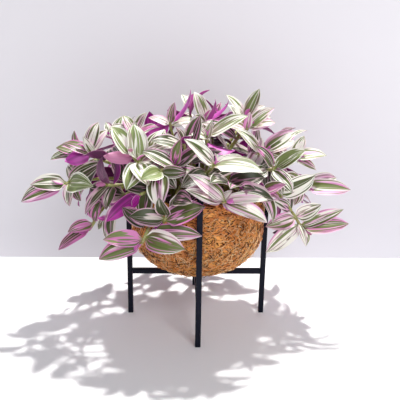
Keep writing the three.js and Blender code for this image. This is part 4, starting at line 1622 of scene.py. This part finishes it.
    def buds(self, stem: Stem, draws: Draws) -> list[Leaf]:
        """Makes the small rolled leaves at the head.

        Args:
            stem: The shoot's stem.
            draws: Random numbers for their turns.

        Returns:
            The leaves.
        """
        rows = []
        along = self.aim
        for i, (length, spread) in enumerate(BUDS):
            rank = rank_side(along, self.spin + 90 + i * 180 + draws.around(BUD_PLAY))
            wide = math.radians(spread)
            chord = unit(along * math.cos(wide) + rank * math.sin(wide))
            face = unit(along - chord * float(along @ chord) - rank * BUD_TILT)
            base = stem.head - along * BUD_SUNK
            rows.append(Leaf(base, chord, squared(face, chord), length * self.size, length * BUD_WIDTH, 1.0))
        return rows

    def dress(self, number: int, finishes: tuple[Material, ...]) -> int:
        """Makes the shoot's piece.

        Args:
            number: Its place in the row of shoots.
            finishes: Materials of the upper face, the lower face and the stem.

        Returns:
            How many leaves it has.
        """
        node = "shoot_" + self.name
        cad = points_of(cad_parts[node].data)[0] / MM - AXIS
        stem = self.plant(cad)
        own = self.kept(self.wanted(stem, Draws(RULE_SEED + number)), cad)
        draws = Draws(LOOK_SEED + number)
        leaves = [leaf for _, leaf in own] + self.buds(stem, draws)
        rule, form = ToneRule(), LeafForm()
        ages = [rule.age(back) for back, _ in own] + [0.0] * len(BUDS)
        blades = LeafBlank().build(len(leaves))
        blanks = points_of(blades, len(leaves))
        points, tones = np.empty_like(blanks), np.empty((*blanks.shape[:2], 4))
        for i, leaf in enumerate(leaves):
            points[i] = form.shape(blanks[i], leaf, draws)
            tones[i] = rule.draw(self.tone, leaf, ages[i], draws)
        place_points(blades, points, np.clip(tones, 0.0, 1.0))
        stalk = StemTube().build(stem, [back for back, _ in own], draws(), self.tone)
        whole = bmesh.new()
        whole.from_mesh(blades)
        whole.from_mesh(stalk)
        dress("leafy_" + self.name, mesh_of(whole, self.name), "foliage", (node,), *finishes)
        return len(own)


@dataclass
class Foliage:
    """All the leafy shoots: those that show from the front, and those behind and between them."""

    front_size: float = 0.9
    front_spin: float = 37.0
    hidden_spin: float = 61.0
    level_height: float = 235.0
    rise_height: float = 90.0
    inner_reach: float = 100.0
    inner_rise: float = 3.0
    outer_reach: float = 165.0
    low_height: float = 265.0
    outer_leaves: int = 8
    low_leaves: int = 5
    high_leaves: int = 7
    # The hidden shoots' tones run darker and less white than most front ones: partly their own tone, partly
    # painted shade of the inside of the foliage.
    least_tone: Tone = Tone(0.28, 0.15, 0.35)
    more_tone: Tone = Tone(0.32, 0.5, 0.45)

    def front(self) -> list[Shoot]:
        """Returns the shoots that show from the front."""
        shoots = []
        for i, plan in enumerate(FRONT_SHOOTS):
            head, aim = np.array(plan.head, float), facing(*plan.aim)
            own = (self.front_size, self.front_spin * i, plan.low, plan.leaves, plan.tone)
            shoots.append(Shoot(plan.name, head, aim, *own))
        return shoots

    def hidden(self) -> list[Shoot]:
        """Returns the shoots behind and between the front ones."""
        shoots = []
        for i, (compass, reach, height, size) in enumerate(HIDDEN_SHOOTS):
            way = math.radians(compass)
            out = np.array([math.cos(way), math.sin(way), 0.0])
            rise = (height - self.level_height) / self.rise_height
            rise *= self.inner_rise if reach < self.inner_reach else 1.0
            count = self.low_leaves if height < self.low_height else self.high_leaves
            if reach >= self.outer_reach:
                count = self.outer_leaves
            draws = Draws(TONE_SEED + i)
            pairs = zip(astuple(self.least_tone), astuple(self.more_tone))
            tone = Tone(*(least + more * draws() for least, more in pairs))
            name, head, aim = f"hidden_{i + 1:02d}", out * reach + UP * height, unit(out + UP * rise)
            shoots.append(Shoot(name, head, aim, size, self.hidden_spin * i, count, (), tone))
        return shoots

    def dress(self) -> None:
        """Makes every shoot's piece."""
        finish = LeafFinish()
        finishes = (finish.upper(), finish.lower(), finish.stem())
        counts = [shoot.dress(number, finishes) for number, shoot in enumerate(self.front() + self.hidden())]
        log.info("foliage: %d leaves on %d shoots", sum(counts), len(counts))


# Holder


@dataclass
class CoirBowl:
    """A bowl of matted coconut fibre: an uneven felted wall with loose strands on it."""

    radius: float = SIZES.bowl_radius
    bottom: float = 85.8
    shoulder: float = 174.0
    rim: float = SIZES.bowl_rim
    wall: float = 9.0
    floor: float = 12.0
    full: float = 2.15
    turns: int = 160
    outer_step: float = 3.4
    inner_step: float = 6.0
    lump_size: float = 0.045
    lumps: tuple[tuple[float, float], ...] = ((1.0, 1.3), (3.1, 0.8), (8.3, 0.7))
    lump_sunk: float = 0.6
    ragged: float = 1.2
    ragged_height: float = 8.0
    flat_height: float = 4.0
    strand_count: int = 5600
    strand_seed: int = 71
    strand_reach: float = 218.0
    side_reach: tuple[float, float] = (120.0, 150.0)
    strand_length: tuple[float, float] = (6.0, 19.0)
    strand_half: tuple[float, float] = (0.3, 0.8)
    strand_lean: float = 1.1
    strand_curl: float = 0.08
    strand_rise: tuple[float, float, float] = (0.2, 0.7, 1.5)
    strand_ends: float = 0.35
    strand_gap: float = 0.15

    def outer(self, inset: float, bottom: float, step: float) -> list[tuple[float, float]]:
        """Follows the wall's curve from the axis at the bottom up to the shoulder.

        Args:
            inset: Distance in from the outer side.
            bottom: Height at the axis.
            step: Greatest distance between points.

        Returns:
            Radius and height of each point.
        """
        angles, power = np.linspace(0, math.pi / 2, 240), 2 / self.full
        radii = (self.radius - inset) * np.sin(angles) ** power
        heights = self.shoulder - (self.shoulder - bottom) * np.cos(angles) ** power
        along = np.concatenate([[0.0], np.cumsum(np.hypot(np.diff(radii), np.diff(heights)))])
        stops = np.linspace(0, along[-1], math.ceil(along[-1] / step) + 1)
        return list(zip(np.interp(stops, along, radii).tolist(), np.interp(stops, along, heights).tolist()))

    def profile(self) -> list[tuple[float, float]]:
        """Returns the closed section from the axis under the bowl, over the rim, to the axis inside."""
        points = self.outer(0.0, self.bottom, self.outer_step)
        straight = np.arange(self.shoulder + self.outer_step, self.rim - 3, self.outer_step).tolist()
        points += [(self.radius, height) for height in straight]
        half = self.wall / 2
        for i in range(7):
            angle = i / 6 * math.pi
            radius = self.radius - half + half * math.cos(angle)
            points.append((radius, self.rim - half + half * math.sin(angle)))
        points += [(self.radius - self.wall, height) for height in reversed(straight)]
        points += self.outer(self.wall, self.bottom + self.floor, self.inner_step)[::-1]
        return points

    def make_wall(self) -> Mesh:
        """Returns the felted wall."""
        shape = lathe(self.profile(), self.turns)
        normals = [vert.normal.copy() for vert in shape.verts]
        for vert, normal in zip(shape.verts, normals):
            place = vert.co * self.lump_size
            lumps = sum(noise.noise(place * fine) * height for fine, height in self.lumps)
            near_rim = max(0.0, (vert.co.z - self.rim + self.ragged_height) / self.ragged_height)
            if vert.co.z > self.bottom + self.flat_height:
                vert.co += normal * (lumps * (1.0 + self.ragged * near_rim) - self.lump_sunk)
        return mesh_of(shape, "coir_wall")

    def surface(self, reach: Point, compass: Point, lift: Point) -> Point:
        """Finds points over the outer wall.

        Args:
            reach: Distance along the wall from the axis under the bowl.
            compass: Angle round the axis.
            lift: Distance out from the wall.

        Returns:
            The points.
        """
        table = np.array(self.outer(0.0, self.bottom, 1.0) + [(self.radius, self.rim + 12)])
        lengths = np.concatenate([[0.0], np.cumsum(np.linalg.norm(np.diff(table, axis=0), axis=1))])
        radius = np.interp(reach, lengths, table[:, 0])
        height = np.interp(reach, lengths, table[:, 1])
        slope_r = np.interp(reach + 1, lengths, table[:, 0]) - np.interp(reach - 1, lengths, table[:, 0])
        slope_z = np.interp(reach + 1, lengths, table[:, 1]) - np.interp(reach - 1, lengths, table[:, 1])
        scale = np.maximum(1e-6, np.hypot(slope_r, slope_z))
        out_r = radius + lift * slope_z / scale
        out_z = height - lift * slope_r / scale
        return np.stack([out_r * np.cos(compass), out_r * np.sin(compass), out_z], axis=-1)

    def make_strands(self) -> Mesh:
        """Returns the loose strands, thin three-sided threads that cross each other on the wall."""
        count = self.strand_count
        shape = bmesh.new()
        bmesh.ops.create_cone(shape, cap_ends=True, segments=3, radius1=1.0, radius2=1.0, depth=2.0)
        long_edges = [edge for edge in shape.edges if abs(edge.verts[0].co.z - edge.verts[1].co.z) > 1]
        bmesh.ops.subdivide_edges(shape, edges=long_edges, cuts=4, use_grid_fill=True)
        copies_of(shape, count)
        mesh = mesh_of(shape, "coir_strands")
        blank = points_of(mesh, count)
        rng = np.random.default_rng(self.strand_seed)
        start = self.strand_reach * np.sqrt(rng.uniform(0.03, 1.0, count))
        lowest, highest = self.side_reach
        start = np.where(start > highest, rng.uniform(lowest, self.strand_reach, count), start)
        compass = rng.uniform(0, 2 * math.pi, count)
        lie = rng.normal(0.0, self.strand_lean, count)
        length = rng.uniform(*self.strand_length, count)
        curl = rng.normal(0.0, self.strand_curl, count)
        least, more, power = self.strand_rise
        rise = np.abs(rng.normal(0.0, 1.0, count)) ** power * more + least
        thick = rng.uniform(*self.strand_half, count)

        def path(s: Point) -> Point:
            """Follows each strand's middle.

            Args:
                s: Shares of its length.

            Returns:
                The points there.
            """
            far = (s - 0.5) * length[:, None]
            bend = curl[:, None] * far / 2
            step = far * np.sinc(bend / math.pi)
            reach = start[:, None] + step * np.sin(lie[:, None] + bend)
            radius = np.maximum(20.0, np.minimum(self.radius, start))[:, None]
            angle = compass[:, None] + step * np.cos(lie[:, None] + bend) / radius
            lift = self.strand_gap + rise[:, None] * np.sin(math.pi * s)
            return self.surface(reach, angle, lift)

        share = (blank[:, :, 2] + 1) / 2
        middle = path(share)
        ahead = path(np.minimum(1.0, share + 0.02)) - path(np.maximum(0.0, share - 0.02))
        ahead /= np.linalg.norm(ahead, axis=2)[:, :, None]
        outward = middle * np.array([1.0, 1.0, 0.0]) + UP * (middle[:, :, 2:] - self.shoulder) * 0.9
        outward /= np.maximum(1e-6, np.linalg.norm(outward, axis=2))[:, :, None]
        side = np.cross(ahead, outward)
        side /= np.maximum(1e-6, np.linalg.norm(side, axis=2))[:, :, None]
        swell = (1 - self.strand_ends) * np.sin(math.pi * share) ** 0.5
        taper = (self.strand_ends + swell) * thick[:, None]
        points = middle + side * (blank[:, :, 0] * taper)[:, :, None]
        points += np.cross(side, ahead) * (blank[:, :, 1] * taper)[:, :, None]
        points[:, :, 2] = np.maximum(points[:, :, 2], self.bottom)
        tones = np.zeros((*share.shape, 4))
        for part, power in enumerate((1.0, 1.6, 1.0)):
            tones[:, :, part] = (rng.uniform(0, 1, count) ** power)[:, None]
        place_points(mesh, points, tones)
        return mesh

    def dress(self) -> None:
        """Makes the bowl's pieces."""
        finish = CoirFinish()
        felt, strand = finish.felt(), finish.strand()
        dress("coir_wall", self.make_wall(), "coir", ("coir_bowl",), felt)
        dress("coir_strands", self.make_strands(), "coir", ("coir_bowl",), strand)


@dataclass
class Soil:
    """Crumbly potting soil that fills the bowl."""

    bowl: CoirBowl
    gap: float = 0.9
    step: float = 8.0
    rings: int = 34
    turns: int = 112
    crumb_size: float = 0.09

    def dress(self) -> None:
        """Makes the soil's piece."""
        inset, floor = self.bowl.wall + self.gap, self.bowl.bottom + self.bowl.floor + self.gap
        curve = self.bowl.outer(inset, floor, self.step)
        top = [(curve[-1][0] * i / self.rings, SIZES.soil_top) for i in range(self.rings, -1, -1)]
        shape = lathe(curve + top, self.turns)
        for vert in shape.verts:
            if vert.co.z > SIZES.soil_top - 1:
                place = vert.co * self.crumb_size
                vert.co.z += noise.noise(place) * 2.4 + noise.noise(place * 3.3) * 1.8 - 1.0
        dress("soil_body", mesh_of(shape, "soil_body"), "potting_soil", ("soil",), SoilFinish().earth())


@dataclass
class Stand:
    """The stand's square tubes, with rounded corners and plugged ends."""

    corner: float = 1.1
    wall: float = 1.2
    plug_edge: float = 0.25
    plug: float = 0.5

    def dress(self) -> None:
        """Makes a piece for each leg and bar."""
        coat = CoatFinish().coat()
        for node in sorted(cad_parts):
            if node.startswith(("leg_", "crossbar_")):
                low, high = (np.array(corner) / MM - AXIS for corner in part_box(node))
                dress("tube_" + node, self.tube(low, high), "black_steel", (node,), coat)

    def tube(self, low: Point, high: Point) -> Mesh:
        """Makes one tube.

        Args:
            low: Lowest corner of its box.
            high: Highest corner of its box.

        Returns:
            The tube.
        """
        shape = bmesh.new()
        bmesh.ops.create_cube(shape, size=1.0)
        bmesh.ops.scale(shape, vec=high - low, verts=shape.verts)
        bmesh.ops.translate(shape, vec=(low + high) / 2, verts=shape.verts)
        longest = int(np.argmax(high - low))
        runs = [edge for edge in shape.edges if abs((edge.verts[0].co - edge.verts[1].co)[longest]) > 1]
        rounding = {"affect": "EDGES", "segments": 3, "profile": 0.5, "material": -1}
        bmesh.ops.bevel(shape, geom=runs, offset=self.corner, **rounding)
        ends = [face for face in shape.faces if abs(face.normal[longest]) > 0.5]
        bmesh.ops.inset_individual(shape, faces=ends, thickness=self.wall, depth=0.0)
        bmesh.ops.inset_individual(shape, faces=ends, thickness=self.plug_edge, depth=-self.plug)
        bmesh.ops.recalc_face_normals(shape, faces=shape.faces)
        return mesh_of(shape, "tube", smooth=False)


# Stage


@dataclass(frozen=True)
class Lamp:
    """A square soft light: its place and width in metres, its power and its colour."""

    name: str
    place: tuple[float, float, float]
    width: float
    watts: float
    tint: Tint

    def hang(self) -> None:
        """Adds the light, turned towards the plant."""
        data = bpy.data.lights.new(self.name, "AREA")
        data.size = self.width
        data.energy = self.watts
        data.color = self.tint.rgba()[:3]
        light = bpy.data.objects.new(self.name, data)
        light.location = self.place
        towards = Vector((0.0, -0.05, 0.2)) - Vector(self.place)
        light.rotation_euler = towards.to_track_quat("-Z", "Y").to_euler()
        bpy.context.scene.collection.objects.link(light)


@dataclass(frozen=True)
class Studio:
    """Camera, floor, backdrop and lights. The lights come from the upper right behind and from the front."""

    camera: tuple[float, float, float] = (-28.0, -888.8, 461.1)
    pan: float = -2.06
    pitch: float = 15.58
    roll: float = 0.98
    focal_pixels: float = 532.0
    picture_pixels: float = 400.0
    sensor_mm: float = 36.0
    floor_half_m: float = 4.0
    floor_tint: Tint = Tint(0.93, 0.93, 0.945)
    wall_half_m: float = 2.2
    wall_height_m: float = 0.75
    wall_gap_m: float = 0.005
    wall_low_shade: Tint = Tint(0.70, 0.69, 0.735)
    wall_high: Tint = Tint(0.94, 0.92, 0.96)
    sky: Tint = Tint(0.90, 0.91, 0.95)
    sky_strength: float = 0.33
    key: Lamp = Lamp("key", (0.36, 0.84, 2.65), 0.1, 97.0, Tint(1.0, 0.98, 0.95))
    fill: Lamp = Lamp("fill", (0.8, -2.1, 1.8), 1.1, 27.0, Tint(0.98, 0.98, 1.0))

    def set_camera(self) -> None:
        """Places the camera at the photograph's viewing angle."""
        pan, pitch, roll = (math.radians(a) for a in (self.pan, self.pitch, self.roll))
        right = np.array([math.cos(pan), math.sin(pan), 0.0])
        level = np.array([-math.sin(pan), math.cos(pan), 0.0])
        ahead = level * math.cos(pitch) - UP * math.sin(pitch)
        over = np.cross(right, ahead)
        turned_right = right * math.cos(roll) + over * math.sin(roll)
        turned_over = over * math.cos(roll) - right * math.sin(roll)
        data = bpy.data.cameras.new("view")
        data.sensor_width = self.sensor_mm
        data.lens = self.focal_pixels / self.picture_pixels * self.sensor_mm
        data.clip_start = 0.01
        camera = bpy.data.objects.new("view", data)
        place = (np.array(self.camera) + AXIS) * MM
        rows = [[turned_right[i], turned_over[i], -ahead[i], place[i]] for i in range(3)]
        camera.matrix_world = Matrix(rows + [[0.0, 0.0, 0.0, 1.0]])
        bpy.context.scene.collection.objects.link(camera)
        bpy.context.scene.camera = camera

    def add_plane(self, name: str, place: Matrix, finish: Material) -> None:
        """Adds one face of the stage.

        Args:
            name: Its name.
            place: Turn, size and place of a square that is 2 m wide.
            finish: Its material.
        """
        shape = bmesh.new()
        bmesh.ops.create_grid(shape, x_segments=1, y_segments=1, size=1.0, matrix=place)
        mesh = mesh_of(shape, name, smooth=False)
        mesh.materials.append(finish)
        plane = bpy.data.objects.new(name, mesh)
        bpy.context.scene.collection.objects.link(plane)

    def wall_material(self) -> Material:
        """Returns the backdrop's pale paint, which shows from the front only and lets light through.

        It darkens towards the floor: painted shade.
        """
        wall = Finish("pale_wall", 0.8)
        build = wall.build
        _, _, height = build.split("XYZ", wall.place())
        # Painted shade: the backdrop is darker near the floor and pales upwards.
        rise = build.step(height, 0.0, 0.5)
        wall.set("Base Color", build.mix(rise, self.wall_low_shade, self.wall_high))
        behind = build.put("NewGeometry").outputs["Backfacing"]
        shadow = build.put("LightPath").outputs["Is Shadow Ray"]
        blend = build.put("MixShader")
        build.feed(blend.inputs[0], build.most(behind, shadow))
        build.feed(blend.inputs[1], wall.surface.outputs[0])
        build.feed(blend.inputs[2], build.put("BsdfTransparent").outputs[0])
        build.feed(wall.material.node_tree.nodes["Material Output"].inputs["Surface"], blend.outputs[0])
        return wall.material

    def set_stage(self) -> None:
        """Adds the pale floor and the backdrop behind the plant."""
        floor = Finish("pale_floor", 0.55)
        floor.set("Base Color", self.floor_tint)
        self.add_plane("floor", Matrix.Scale(self.floor_half_m, 4), floor.material)
        half = self.wall_height_m / 2
        upright = Matrix.Rotation(math.pi / 2, 4, "X") @ Matrix.Diagonal((self.wall_half_m, half, 1.0, 1.0))
        place = Matrix.Translation((0.0, CAD_BOX[1][1] + self.wall_gap_m, half)) @ upright
        self.add_plane("backdrop", place, self.wall_material())

    def set_lights(self) -> None:
        """Adds the lamps and the sky's light."""
        self.key.hang()
        self.fill.hang()
        world = bpy.data.worlds.new("sky")
        world.use_nodes = True
        sky = world.node_tree.nodes["Background"]
        sky.inputs["Color"].default_value = self.sky.rgba()
        sky.inputs["Strength"].default_value = self.sky_strength
        bpy.context.scene.world = world
        bpy.context.scene.view_settings.view_transform = "Standard"


def main() -> None:
    """Builds the plant, its holder and the stage in order."""
    logging.basicConfig(level=logging.INFO, format="%(name)s %(message)s")
    studio = Studio()
    studio.set_camera()
    make_streaks_group()
    make_mottle_group()
    Foliage().dress()
    bowl = CoirBowl()
    bowl.dress()
    Soil(bowl).dress()
    Stand().dress()
    studio.set_stage()
    studio.set_lights()


if __name__ == "__main__":
    main()
